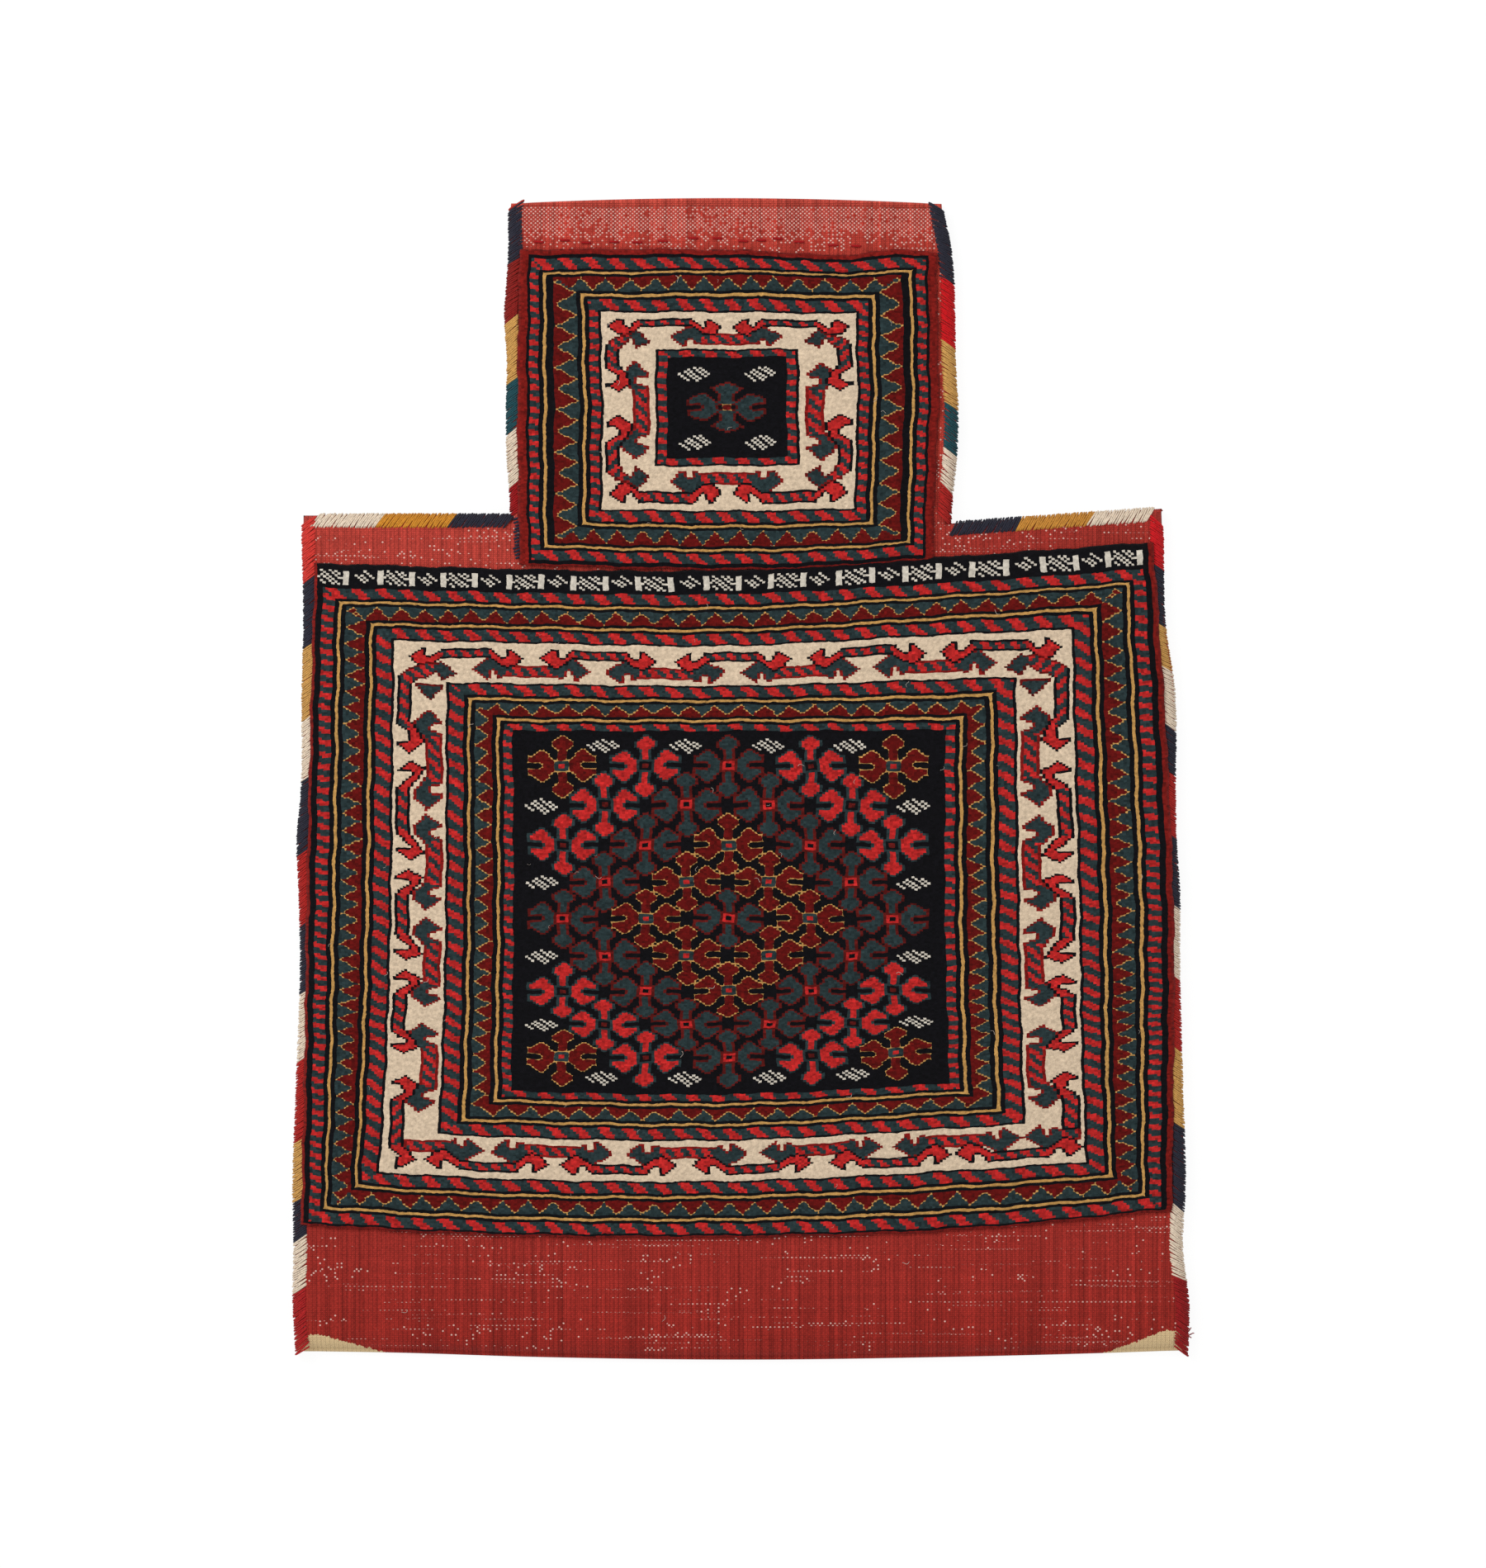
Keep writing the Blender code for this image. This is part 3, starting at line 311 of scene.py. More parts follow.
# Bands from outside inwards: kind, knots at the sides, rows at the foot, rows at the top
BODY_BANDS = (
    ("dark", 2, 1, 0), ("guard", 4, 5, 5), ("dark", 1, 1, 1), ("gold", 2, 2, 2), ("dark", 1, 1, 1),
    ("teeth", 7, 7, 7), ("dark", 1, 1, 1), ("gold", 2, 2, 2), ("dark", 1, 1, 1), ("guard", 5, 5, 5),
    ("dark", 1, 1, 1), ("cream", 18, 20, 20), ("dark", 1, 1, 1), ("guard", 5, 5, 5),
    ("dark", 1, 1, 1), ("gold", 2, 2, 2), ("dark", 1, 1, 1), ("teeth", 6, 6, 6), ("dark", 1, 1, 1),
    ("gold", 2, 2, 2), ("dark", 1, 1, 1), ("guard", 3, 3, 3))
NECK_BANDS = (
    ("dark", 1, 2, 2), ("guard", 3, 5, 6), ("dark", 1, 1, 1), ("gold", 2, 2, 2), ("dark", 2, 1, 1),
    ("teeth", 8, 8, 7), ("dark", 1, 1, 1), ("gold", 2, 2, 2), ("dark", 1, 1, 1), ("guard", 3, 5, 5),
    ("dark", 1, 1, 1), ("cream", 18, 21, 18), ("dark", 1, 1, 1), ("guard", 3, 3, 3))

# The border's double-headed figures, as half outlines: way along the side and depth, in pixels
OUTER_LEVEL = (
    (0, 7), (32, 7), (39, 13), (44, 18.5), (49, 17), (50, 7.5), (56, 7.5), (72, 18.5), (60, 30),
    (51, 32), (40, 27), (32, 20.5), (0, 20.5))
INNER_LEVEL = (
    (0, 28.5), (30, 28.5), (42, 20), (50, 17.5), (74, 33), (57, 46), (52, 46), (47, 34), (41, 46),
    (33, 43), (0, 43))
OUTER_UPRIGHT = (
    (0, 3.5), (26, 3.5), (36, 13), (41, 21), (45, 21), (45, 4), (49, 4), (60, 20), (50, 40),
    (43, 37), (33, 28), (26, 22.5), (0, 22.5))
INNER_UPRIGHT = (
    (0, 40), (22, 40), (32, 32), (38, 24), (44, 24), (61, 43), (46, 63), (42, 62), (40, 48),
    (35, 46), (30, 62), (22, 64), (0, 64))

# The figure that turns each corner, as ways in from the two edges of the cream band, and the
# loose head below it. The neck's is shorter both ways, in what lies beyond CORNER_LONG
CORNER_FIGURE = (
    (81, 38), (61, 23), (41, 26), (19, 33), (4, 44), (4, 102), (19, 111), (17, 121), (5, 121),
    (5, 126), (21, 136), (40, 122), (33, 109), (23, 97), (23, 52), (30, 47), (42, 46), (53, 37),
    (61, 49))
NECK_CORNER_SHORTER = (16, 26)
CORNER_LONG = (41, 90)
# Where the corner figure's two heads begin
CORNER_HEADS = (50, 106)
LOOSE_HEAD = ((25, 53), (62, 53), (62, 57), (46, 72), (28, 58))

# The body's two foot corners, in the same way: an upright bar with a head at its top, and at the
# left one at its foot too. Between which heights each one's bar is striped
FOOT_CORNERS = (
    ((8, 31), (8, 92), (21, 100), (19, 109), (8, 109), (9, 114), (25, 122), (42, 110), (36, 99),
     (25, 88), (25, 33), (33, 28), (45, 18), (30, 8), (19, 5), (17, 10), (21, 21)),
    ((4, 40), (4, 82), (17, 91), (15, 101), (3, 101), (4, 106), (20, 115), (37, 102), (31, 91),
     (27, 83), (27, 40)))
FOOT_CORNER_BARS = ((34, 90), (40, 84))
# How far in from the left and the right edge the foot's inner figures may reach
FOOT_FIGURE_REACH = (25, 3)

# A flower head's right lobe and its upper tip, and its kinds: their fill, edge, heart and dot
FLOWER_LOBE = (
    (8, -7), (24.5, -21.5), (42, -11), (42, -3.4), (26, -2.3), (26, 2.3), (42, 3.4), (42, 11),
    (24.5, 21.5), (8, 7))
FLOWER_TIP = ((0, 39), (17, 27), (7.5, 19), (7.5, 4), (-7.5, 4), (-7.5, 19), (-17, 27))
FLOWER_COLOURS = {
    "gold": ("dark_red", "gold", "green", "red"),
    "red": ("red", "green", "dark", "faded_red"),
    "green": ("green", "faded_red", "red", "dark"),
    "neck": ("green", "faded_red", "gold", "dark_red"),
}

# Where the middles of the figures stand in the photograph, for the left, the right, the foot and
# the top: the outer row's and the inner row's. The sides' are heights, the others lie across
BODY_FIGURES = (
    ((1227, 1108, 982), (1291, 1166, 1045, 919)),
    ((1228, 1113, 985), (1288, 1168, 1047, 914)),
    ((591, 750, 912, 1077, 1234), (507, 669, 832, 994, 1157, 1319)),
    ((565, 725, 888, 1050, 1211), (644, 806, 969, 1132)))
NECK_FIGURES = (((), (498,)), ((), (498,)), ((807, 955), (881,)), ((807, 955), (881,)))
# The knot or the row along which each of those four rows of figures lies
BODY_FIGURE_LINES = (36, 247, 37, 283)
NECK_FIGURE_LINES = (35, 101, 40, 116)
# In the cream band, in pixels: a knot's real width at the left and the right, a row's real height
# at the foot and the top, and a row's height along the sides
BODY_SCALES, BODY_SIDE_ROW = (3.67, 3.67, 2.48, 2.48), 2.57
NECK_SCALES, NECK_SIDE_ROW = (3.9, 3.9, 2.36, 2.75), 2.44


def inside(points, across, up):
    """Which places lie inside a closed outline."""
    hit = np.zeros(np.shape(across), bool)
    for (x0, y0), (x1, y1) in zip(points, points[1:] + points[:1]):
        crosses = (y0 > up) != (y1 > up)
        with np.errstate(divide="ignore", invalid="ignore"):
            edge = (x1 - x0) * (up - y0) / (y1 - y0 if y1 != y0 else 1.0) + x0
        hit ^= crosses & (across < edge)
    return hit


def eroded(mask):
    """A mask less its outermost knots."""
    inner = mask.copy()
    inner[1:] &= mask[:-1]
    inner[:-1] &= mask[1:]
    inner[:, 1:] &= mask[:, :-1]
    inner[:, :-1] &= mask[:, 1:]
    return inner


class Cartoon:
    """A weaver's cartoon: one colour for each knot, rows counted from the foot."""

    def __init__(self, bands, field_knots, field_rows, cap_rows, side_teeth):
        self.bands = bands
        self.side_teeth = side_teeth
        self.left = sum(band[1] for band in bands)
        self.foot = sum(band[2] for band in bands)
        self.top = sum(band[3] for band in bands)
        self.width = 2 * self.left + field_knots
        self.framed = self.foot + field_rows + self.top
        self.height = self.framed + cap_rows
        self.column, self.row = np.meshgrid(np.arange(self.width) + 0.5, np.arange(self.height) + 0.5)
        self.colours = np.full(self.column.shape, NAMES.index("dark"))
        self.from_edges = (
            self.column, self.width - self.column, self.row, self.framed - self.row)

    def paint(self, mask, colour):
        """Knot some places in one colour."""
        self.colours[mask] = NAMES.index(colour)

    def side_of(self, band, start):
        """For each knot of a band: which side it is on (0 left, 1 right, 2 foot, 3 top)."""
        widths = (band[1], band[1], max(band[2], 1), max(band[3], 1))
        starts = (start[0], start[0], start[1], start[2])
        depths = [(d - s) / w for d, s, w in zip(self.from_edges, starts, widths)]
        return np.argmin(np.stack(depths), axis=0)

    def ring(self, start, end):
        """The knots between two frames, each given as its inset at the sides, foot and top."""
        def within(inset):
            limits = (inset[0], inset[0], inset[1], inset[2])
            return np.all([d > s for d, s in zip(self.from_edges, limits)], axis=0)
        return within(start) & ~within(end)

    def draw_bands(self, outward_teeth):
        """All the frames, from outside inwards."""
        start = (0, 0, 0)
        for band in self.bands:
            end = tuple(a + b for a, b in zip(start, band[1:]))
            ring = self.ring(start, end)
            side = self.side_of(band, start)
            kind = band[0]
            if kind in ("gold", "cream"):
                self.paint(ring, kind)
            if kind == "guard":
                self.draw_guard(ring, side, band)
            if kind == "teeth":
                self.draw_teeth(ring, side, band, start, outward_teeth)
            start = end

    def draw_guard(self, ring, side, band):
        """Slanted red blocks on green."""
        level = side >= 2
        level_pitch, wide_pitch, narrow_pitch = GUARD_PITCHES
        slope, pitch = (0.35, narrow_pitch) if band[1] < 5 else (0.8, wide_pitch)
        self.paint(ring, "green")
        across = (self.column + 0.7 * self.row) / level_pitch
        up = (self.row + slope * self.column) / pitch
        phase = np.where(level, across, up) % 1.0
        self.paint(ring & (phase < RED_SHARE), "red")

    def draw_teeth(self, ring, side, band, start, outward):
        """Dark red saw teeth with a gold edge on green."""
        self.paint(ring, "green")
        starts = (start[0], start[0], start[1], start[2])
        for index in range(4):
            here = ring & (side == index)
            width = (band[1], band[1], band[2], band[3])[index]
            depth = self.from_edges[index] - starts[index]
            level = index >= 2
            along = self.column - self.width / 2 if level else self.row - self.height / 2
            pitch = LEVEL_TEETH if level else self.side_teeth
            tooth = 1 - np.abs((along / pitch) % 1.0 - 0.5) * 2
            rooted = width - depth if outward else depth
            line = 0.6 + tooth * (width - 0.9)
            self.paint(here & (rooted < line + 0.55), "gold")
            self.paint(here & (rooted < line - 0.55), "dark_red")

    def figure(self, half, centre, along, depth, region, outline, head, bar_half, slant):
        """One double-headed figure: a striped bar and a barbed head at each end."""
        a = along - centre
        mask = np.zeros(a.shape, bool)
        for sign in (-1, 1):
            mask |= inside(list(half), a * sign, depth) & (a * sign >= 0)
        mask &= region
        inner = eroded(mask)
        self.paint(mask, outline)
        self.paint(inner, head)
        striped = inner & (np.abs(a) < bar_half)
        wave = ((a + slant * depth) / STRIPES) % 1.0
        self.paint(striped & (wave < 0.5), "red")
        self.paint(striped & (wave >= 0.5), "green")

    def corner(self, start, depths, scales, shorter, loose):
        """The figure that turns the corner between two edges, and its loose head."""
        level, upright = depths
        along_x = (self.from_edges[upright] - start[upright]) * scales[0]
        along_y = (self.from_edges[level] - start[level]) * scales[1]
        points = []
        for x, y in CORNER_FIGURE:
            points.append((
                x - (shorter[0] if x > CORNER_LONG[0] else 0),
                y - (shorter[1] if y > CORNER_LONG[1] else 0)))
        mask = inside(points, along_x, along_y) & (along_x > 0) & (along_y > 0)
        inner = eroded(mask)
        self.paint(mask, "dark")
        self.paint(mask & (along_y < 50) & (along_x > 8), "dark_red")
        wave = ((along_x - along_y) / STRIPES) % 1.0
        self.paint(inner & (wave < 0.5), "red")
        self.paint(inner & (wave >= 0.5), "green")
        self.paint(inner & (along_x > CORNER_HEADS[0] - shorter[0]), "green")
        self.paint(inner & (along_y > CORNER_HEADS[1] - shorter[1]), "red")
        if loose:
            head = inside(list(LOOSE_HEAD), along_x, along_y)
            self.paint(head, "dark_red")
            self.paint(eroded(head), "green")

    def foot_corner(self, side, start, scales):
        """The upright bar and its heads at the left or the right foot corner."""
        along_x = (self.from_edges[side] - start[side]) * scales[side]
        along_y = (self.from_edges[2] - start[2]) * scales[2]
        low, high = FOOT_CORNER_BARS[side]
        mask = inside(list(FOOT_CORNERS[side]), along_x, along_y)
        inner = eroded(mask)
        wave = ((along_x - along_y) / STRIPES) % 1.0
        self.paint(mask, "dark")
        self.paint(inner, "red")
        self.paint(inner & (along_y > low) & (along_y < high) & (wave >= 0.5), "green")

    def flower(self, column, row, kind, size=(1.0, 1.0)):
        """A flower head: two cleft lobes, a diamond above and below, and a square heart."""
        across = (self.column - column) * KNOT / size[0]
        up = (self.row - row) * ROW / size[1]
        mask = np.zeros(across.shape, bool)
        for sign in (-1, 1):
            mask |= inside(list(FLOWER_LOBE), across * sign, up)
            mask |= inside(list(FLOWER_TIP), across, up * sign)
        fill, edge, heart, dot = FLOWER_COLOURS[kind]
        self.paint(mask, edge)
        self.paint(eroded(mask), fill)
        self.paint((np.abs(across) < 7) & (np.abs(up) < 6), heart)
        self.paint((np.abs(across) < 2.6) & (np.abs(up) < 2.6), dot)

    def hatch(self, column, row, half_width=18, half_height=12):
        """A rhombus of slanted lines of knots."""
        across = np.floor(self.column - column + 0.5)
        up = np.floor(self.row - row + 0.5)
        mask = np.abs(across) * KNOT / half_width + np.abs(up) * ROW / half_height < 1.02
        self.paint(mask & self.slanted_lines(across, up), "white")

    @staticmethod
    def slanted_lines(across, up):
        """Lines that step down one row a knot, two or three rows apart."""
        return (across + up) % 2.5 < 1.0


def figure_places(figures, lines, tables):
    """The middles of the figures in rows and knots, from where they stand in the photograph."""
    rows_of_x, columns, columns_of_y, rows = tables
    places = []
    for index, line in enumerate(lines):
        level = index >= 2
        marks, crossing = (columns, rows_of_x) if level else (rows, columns_of_y)
        numbers = [number for number, _ in marks]
        seen = [float(curve(crossing, values, line)) for _, values in marks]
        steps = np.arange(0, numbers[-1], 0.1)
        way = 1 if level else -1
        along = way * curve(numbers, seen, steps)
        places.append([np.interp(way * np.array(row, float), along, steps) for row in figures[index]])
    return places


def draw_cream_band(page, figures, scales, row_size, shorter, foot_corners):
    """The figures of the cream band. Its foot corners are turned ones, or bars of their own."""
    cream = next(i for i, band in enumerate(page.bands) if band[0] == "cream")
    before = page.bands[:cream]
    side, foot, top = (sum(band[k] for band in before) for k in (1, 2, 3))
    start = (side, side, foot, top)
    ring = page.ring((side, foot, top), [
        a + b for a, b in zip((side, foot, top), page.bands[cream][1:])])
    depths = [(page.from_edges[n] - start[n]) * scales[n] for n in range(4)]
    for index, (outer_places, inner_places) in enumerate(figures):
        level = index >= 2
        unit = KNOT if level else row_size
        along = (page.column if level else page.row) * unit
        slant = STRIPE_SLANTS[index]
        inner, outer = (INNER_LEVEL, OUTER_LEVEL) if level else (INNER_UPRIGHT, OUTER_UPRIGHT)
        bar = LEVEL_BAR if level else UPRIGHT_BAR
        region = ring
        if index == 2 and foot_corners:
            region = ring & (depths[0] > FOOT_FIGURE_REACH[0]) & (depths[1] > FOOT_FIGURE_REACH[1])
        for place in inner_places:
            page.figure(
                inner, place * unit, along, depths[index], region, "edge_red", "green", bar, slant)
        for place in outer_places:
            page.figure(outer, place * unit, along, depths[index], ring, "dark", "red", bar, slant)
    for level in (3,) if foot_corners else (2, 3):
        for upright in (0, 1):
            page.corner(
                start, (level, upright), (scales[upright], scales[level]), shorter, foot_corners)
    if foot_corners:
        page.foot_corner(0, start, scales)
        page.foot_corner(1, start, scales)


# The field's knots and rows, the rows above the frames, and how far apart the upright teeth stand
BODY_PAGE = (146, 179, 12, 8.1)
NECK_PAGE = (42, 50, 0, 10.5)
# How far apart the flower heads' lines stand, in knots and rows, and the middle one's row
FLOWER_STEPS = (14, 18)
BODY_FLOWER_ROW = 90
NECK_FLOWER_ROW = 25
# The neck's flower head's own size, and where its rhombi stand from it, in knots and rows
NECK_FLOWER_SIZE = (1.22, 0.87)
NECK_RHOMBUS = (11.5, 17)


def body_cartoon(tables):
    """The body's pattern."""
    page = Cartoon(BODY_BANDS, *BODY_PAGE)
    page.draw_bands(True)
    middle = page.width / 2
    page.colours[page.row > page.framed] = NAMES.index("dark")
    figures = figure_places(BODY_FIGURES, BODY_FIGURE_LINES, tables)
    draw_cream_band(page, figures, BODY_SCALES, BODY_SIDE_ROW, (0, 0), True)
    for across_step in range(-4, 5):
        for up_step in range(-4, 5):
            column = middle + across_step * FLOWER_STEPS[0]
            row = page.foot + BODY_FLOWER_ROW + up_step * FLOWER_STEPS[1]
            if (across_step + up_step) % 2 == 0:
                ring_number = (abs(across_step) + abs(up_step)) // 2
                kind = ("green", "gold", "green", "red", "gold")[ring_number]
                page.flower(column, row, kind)
            elif abs(across_step) == 4:
                page.hatch(column + math.copysign(7, across_step), row)
            elif abs(up_step) == 4:
                page.hatch(column, row + math.copysign(10, up_step))
    draw_white_band(page)
    return page


# How far apart the white blocks stand, and how far the middle one is off the middle, in knots
WHITE_PERIOD = 22.4
WHITE_SHIFT = -1.7


def draw_white_band(page):
    """Blocks of white hatching between brackets, and small rhombi, above the frames."""
    middle_row = page.framed + 5.5
    for index in range(-6, 7):
        centre = page.width / 2 + WHITE_SHIFT + index * WHITE_PERIOD
        across = np.floor(page.column - centre + 0.5)
        up = np.floor(page.row - middle_row + 0.5)
        tall = np.abs(up) < 3.6
        bracket = (np.abs(np.abs(across) - 5.5) < 0.8) & tall
        bridge = (np.abs(across) > 3.6) & (np.abs(across) < 5) & (np.abs(up) < 0.6)
        hatch = (np.abs(across) < 3.6) & (np.abs(up) < 3.3) & page.slanted_lines(across, up)
        page.paint(bracket | bridge | hatch, "white")
        if index < 6:
            page.hatch(centre + WHITE_PERIOD / 2, middle_row, 14.5, 9.5)


def neck_cartoon(tables):
    """The neck's pattern."""
    page = Cartoon(NECK_BANDS, *NECK_PAGE)
    page.draw_bands(False)
    middle = page.width / 2
    figures = figure_places(NECK_FIGURES, NECK_FIGURE_LINES, tables)
    draw_cream_band(page, figures, NECK_SCALES, NECK_SIDE_ROW, NECK_CORNER_SHORTER, False)
    row = page.foot + NECK_FLOWER_ROW
    page.flower(middle, row, "neck", NECK_FLOWER_SIZE)
    for sign_a in (-1, 1):
        for sign_b in (-1, 1):
            page.hatch(
                middle + sign_a * NECK_RHOMBUS[0], row + sign_b * NECK_RHOMBUS[1], 18.5, 12)
    return page


# Where the pattern's lines run in the photograph. Columns: the knot, then x at some of the rows.
# Rows: the row, then y at some of the columns
BODY_ROWS_OF_X = (1, 71.5, 165, 249, 330)
BODY_COLUMNS = (
    (0, (368, 372, 375, 379.5, 385)), (27, (456, 467.5, 474.5, 477, 480)),
    (68, (615, 619, 622, 621, 620)), (141, (883, 882.5, 882, 882, 881)),
    (214, (1154, 1150, 1144.5, 1145, 1143)), (255, (1318, 1310, 1306.5, 1300, 1296)),
    (282, (1412, 1414, 1413.5, 1404, 1390)))
BODY_COLUMNS_OF_Y = (0, 68, 141, 214, 282)
BODY_ROWS = (
    (0, (1481, 1494, 1496, 1487.5, 1464)), (27, (1412, 1427, 1429.5, 1417, 1398)),
    (70, (1310, 1321, 1325, 1312, 1295)), (88, (1266, 1278, 1280, 1272, 1256)),
    (124, (1189, 1200, 1200, 1198, 1187)), (160, (1105, 1112, 1112, 1112, 1104)),
    (196, (1019, 1023, 1023, 1023, 1016)), (232, (925, 927, 927, 927, 918)),
    (249, (880, 884.5, 885, 883, 873)), (292, (775, 779, 783, 769.5, 758.5)),
    (300, (755, 760, 763.5, 748.8, 732.5)), (318, (712, 718, 720, 706.5, 689)),
    (330, (682, 689, 690.5, 674.5, 657)))
NECK_ROWS_OF_X = (0, 54, 79, 104, 155)
NECK_COLUMNS = (
    (0, (640, 638, 638, 638, 640)), (25, (729, 730, 731, 729, 727)),
    (47, (808, 808, 808, 808, 808)), (68, (881, 881, 881, 881, 881)),
    (89, (954, 953.5, 953, 952.5, 952)), (111, (1034, 1036, 1038, 1037, 1035)),
    (136, (1120, 1124, 1127, 1126, 1124)))
NECK_COLUMNS_OF_Y = (0, 31, 68, 92, 106, 121, 136)
NECK_ROWS = (
    (0, (682, 686, 688, 686.8, 684, 680, 676)), (28, (616, 619.5, 621, 620, 618.5, 616, 613)),
    (54, (554, 555, 555, 554, 553, 552, 550)), (104, (432, 433, 433, 432, 431.5, 431, 430)),
    (126, (378, 379, 379, 380, 381, 379, 378)), (144, (333.5, 333.5, 331.5, 333, 336.5, 332, 331)),
    (155, (309, 308.5, 309, 312, 315.5, 309, 311)))


def knot_places(page, rows_of_x, columns, columns_of_y, rows, margins):
    """Where each corner of each knot lies, in pixels, with the plain margin round the pattern."""
    left, right, foot, top = margins
    us = np.arange(-left, page.width + right + 1)
    vs = np.arange(-foot, page.height + top + 1)
    column_x = np.stack([curve(rows_of_x, xs, vs) for _, xs in columns])
    row_y = np.stack([curve(columns_of_y, ys, us) for _, ys in rows])
    px = np.stack([curve([k for k, _ in columns], column_x[:, n], us) for n in range(len(vs))])
    py = np.stack([curve([k for k, _ in rows], row_y[:, n], vs) for n in range(len(us))], axis=1)
    return px, py


# How much higher or lower than the rest some wools stand
RELIEFS = {"dark": -0.00055, "margin": -0.0003, "gold": -0.0001, "cream": 0.00015}
# How unevenly the pale wools took their colour; the others are at 0.2
UNEVEN = {"cream": 0.045, "white": 0.06, "gold": 0.09}
# How far a gold line's edges draw in, across and up, in pixels
THINNING = (1.9, 1.0)
# How far knots are off their places, across, up and in height, in pixels and metres
LOOSENESS = (0.26, 0.28)
HEIGHT_LOOSENESS = 0.00009
# How far the slab's edge rounds off, how far its foot is cut under and how far in its seat lies
EDGE_ROUNDING = 0.0012
UNDERCUT = 0.0004
SEAT_INSET = 0.009


def pile_slab(name, page, tables, margins, material, seed):
    """A closed slab of pile whose top has one face for each knot."""
    random = np.random.default_rng(seed)
    left, right, foot, top = margins
    px, py = knot_places(page, *tables, margins)
    colours = np.full((page.height + foot + top, page.width + left + right), NAMES.index("margin"))
    colours[foot:foot + page.height, left:left + page.width] = page.colours
    across, up = np.meshgrid(np.arange(px.shape[1]), np.arange(px.shape[0]))
    py = py + 0.7 * np.sin(across * 0.23 + up * 0.04 + seed) + 0.45 * np.sin(across * 0.61 - up * 0.11)
    px = px + 0.8 * np.sin(up * 0.17 + across * 0.05 + seed) + 0.5 * np.sin(up * 0.43 - across * 0.09)
    px = px + random.normal(0, LOOSENESS[0], px.shape)
    py = py + random.normal(0, LOOSENESS[1], py.shape)
    thin = np.pad((colours == NAMES.index("gold")).astype(float), 1, mode="edge")
    px = px + THINNING[0] * (thin[:-1, 1:] + thin[1:, 1:] - thin[:-1, :-1] - thin[1:, :-1]) / 2
    py = py - THINNING[1] * (thin[1:, :-1] + thin[1:, 1:] - thin[:-1, :-1] - thin[:-1, 1:]) / 2
    x, y = spot(px, py)
    relief = np.array([RELIEFS.get(key, 0.0) for key in NAMES])[colours]
    padded_relief = np.pad(relief, 1, mode="edge")
    corner_relief = (
        padded_relief[:-1, :-1] + padded_relief[1:, :-1]
        + padded_relief[:-1, 1:] + padded_relief[1:, 1:]) / 4
    rows, columns = x.shape
    edge = np.minimum(
        np.minimum(np.arange(columns)[None, :], columns - 1 - np.arange(columns)[None, :]) * 1.4,
        np.minimum(np.arange(rows)[:, None], rows - 1 - np.arange(rows)[:, None]))
    rounding = -EDGE_ROUNDING * np.exp(-edge / 1.6)
    base = front_height(x, y)
    z = base + PILE + corner_relief + rounding + random.normal(0, HEIGHT_LOOSENESS, x.shape)
    vertices = np.stack([x, y, z], -1).reshape(-1, 3)
    index = np.arange(rows * columns).reshape(rows, columns)
    quads = np.stack([index[:-1, :-1], index[:-1, 1:], index[1:, 1:], index[1:, :-1]], -1)
    faces = quads.reshape(-1, 4).tolist()
    face_colours = colours.ravel().tolist()

    loop = list(index[0, :]) + list(index[1:, -1]) + list(index[-1, -2::-1]) + list(index[-2:0:-1, 0])
    ring = vertices[loop]
    middle = ring.mean(axis=0)
    inward = (middle - ring)[:, :2]
    inward /= np.sqrt((inward**2).sum(-1))[:, None]
    low = ring.copy()
    low[:, :2] += inward * UNDERCUT
    low[:, 2] = front_height(low[:, 0], low[:, 1]) + CLEARANCE
    seat = ring.copy()
    seat[:, :2] += inward * SEAT_INSET
    seat[:, 2] = front_height(seat[:, 0], seat[:, 1]).max() + CLEARANCE
    first_low = len(vertices)
    first_seat = first_low + len(loop)
    vertices = np.concatenate([vertices, low, seat])
    count = len(loop)
    plain = NAMES.index("margin")
    for n in range(count):
        after = (n + 1) % count
        faces.append((loop[after], loop[n], first_low + n, first_low + after))
        faces.append((first_low + after, first_low + n, first_seat + n, first_seat + after))
        face_colours += [plain, plain]
    faces.append(tuple(first_seat + n for n in reversed(range(count))))
    face_colours.append(plain)

    item = new_mesh_object(name, vertices, faces, [material])
    palette = np.array([linear(COLOURS[key]) for key in NAMES])
    face_colours = np.array(face_colours)
    uneven = np.array([UNEVEN.get(key, 0.2) for key in NAMES])[face_colours]
    knots = palette[face_colours] * (1 + random.normal(0, 1, len(uneven)) * uneven).clip(0.6, 1.45)[:, None]
    sizes = np.array([len(face) for face in faces])
    corner = np.repeat(knots, sizes, axis=0)
    layer = item.data.color_attributes.new("knot_colour", "FLOAT_COLOR", "CORNER")
    layer.data.foreach_set("color", np.concatenate([corner, np.ones((len(corner), 1))], 1).ravel())
    return smooth(item)


# How the strip's points crowd towards a rim, and at which heights its neck leaves its body at the
# left and the right, in pixels
RIM = (0.0, 2.5, 5.5, 9.0, 13.0, 18.0, 24.4)
NECK_BASE = (628.0, 632.0)
# Between which heights the body's and the neck's rows of points are spread, in pixels, and the
# steps of the turn round the fold
BODY_SPREAD = (1634.4, 624)
BODY_EDGE_SPREAD = (1634, 624)
NECK_SPREAD = (629, 245)
FOLD_STEPS = 8


def spaced(start, end, rim_start, rim_end, pitch=10.0):
    """Places from one pixel to another, closer together near a rim."""
    way = 1 if end > start else -1
    head = [start + way * step for step in RIM] if rim_start else [start]
    tail = [end - way * step for step in reversed(RIM)] if rim_end else [end]
    count = max(2, int(round(abs(tail[0] - head[-1]) / pitch)))
    return head[:-1] + list(np.linspace(head[-1], tail[0], count + 1)) + tail[1:]


def shares(places):
    """Places as shares of their whole length."""
    places = np.array(places)
    return (places - places[0]) / (places[-1] - places[0])


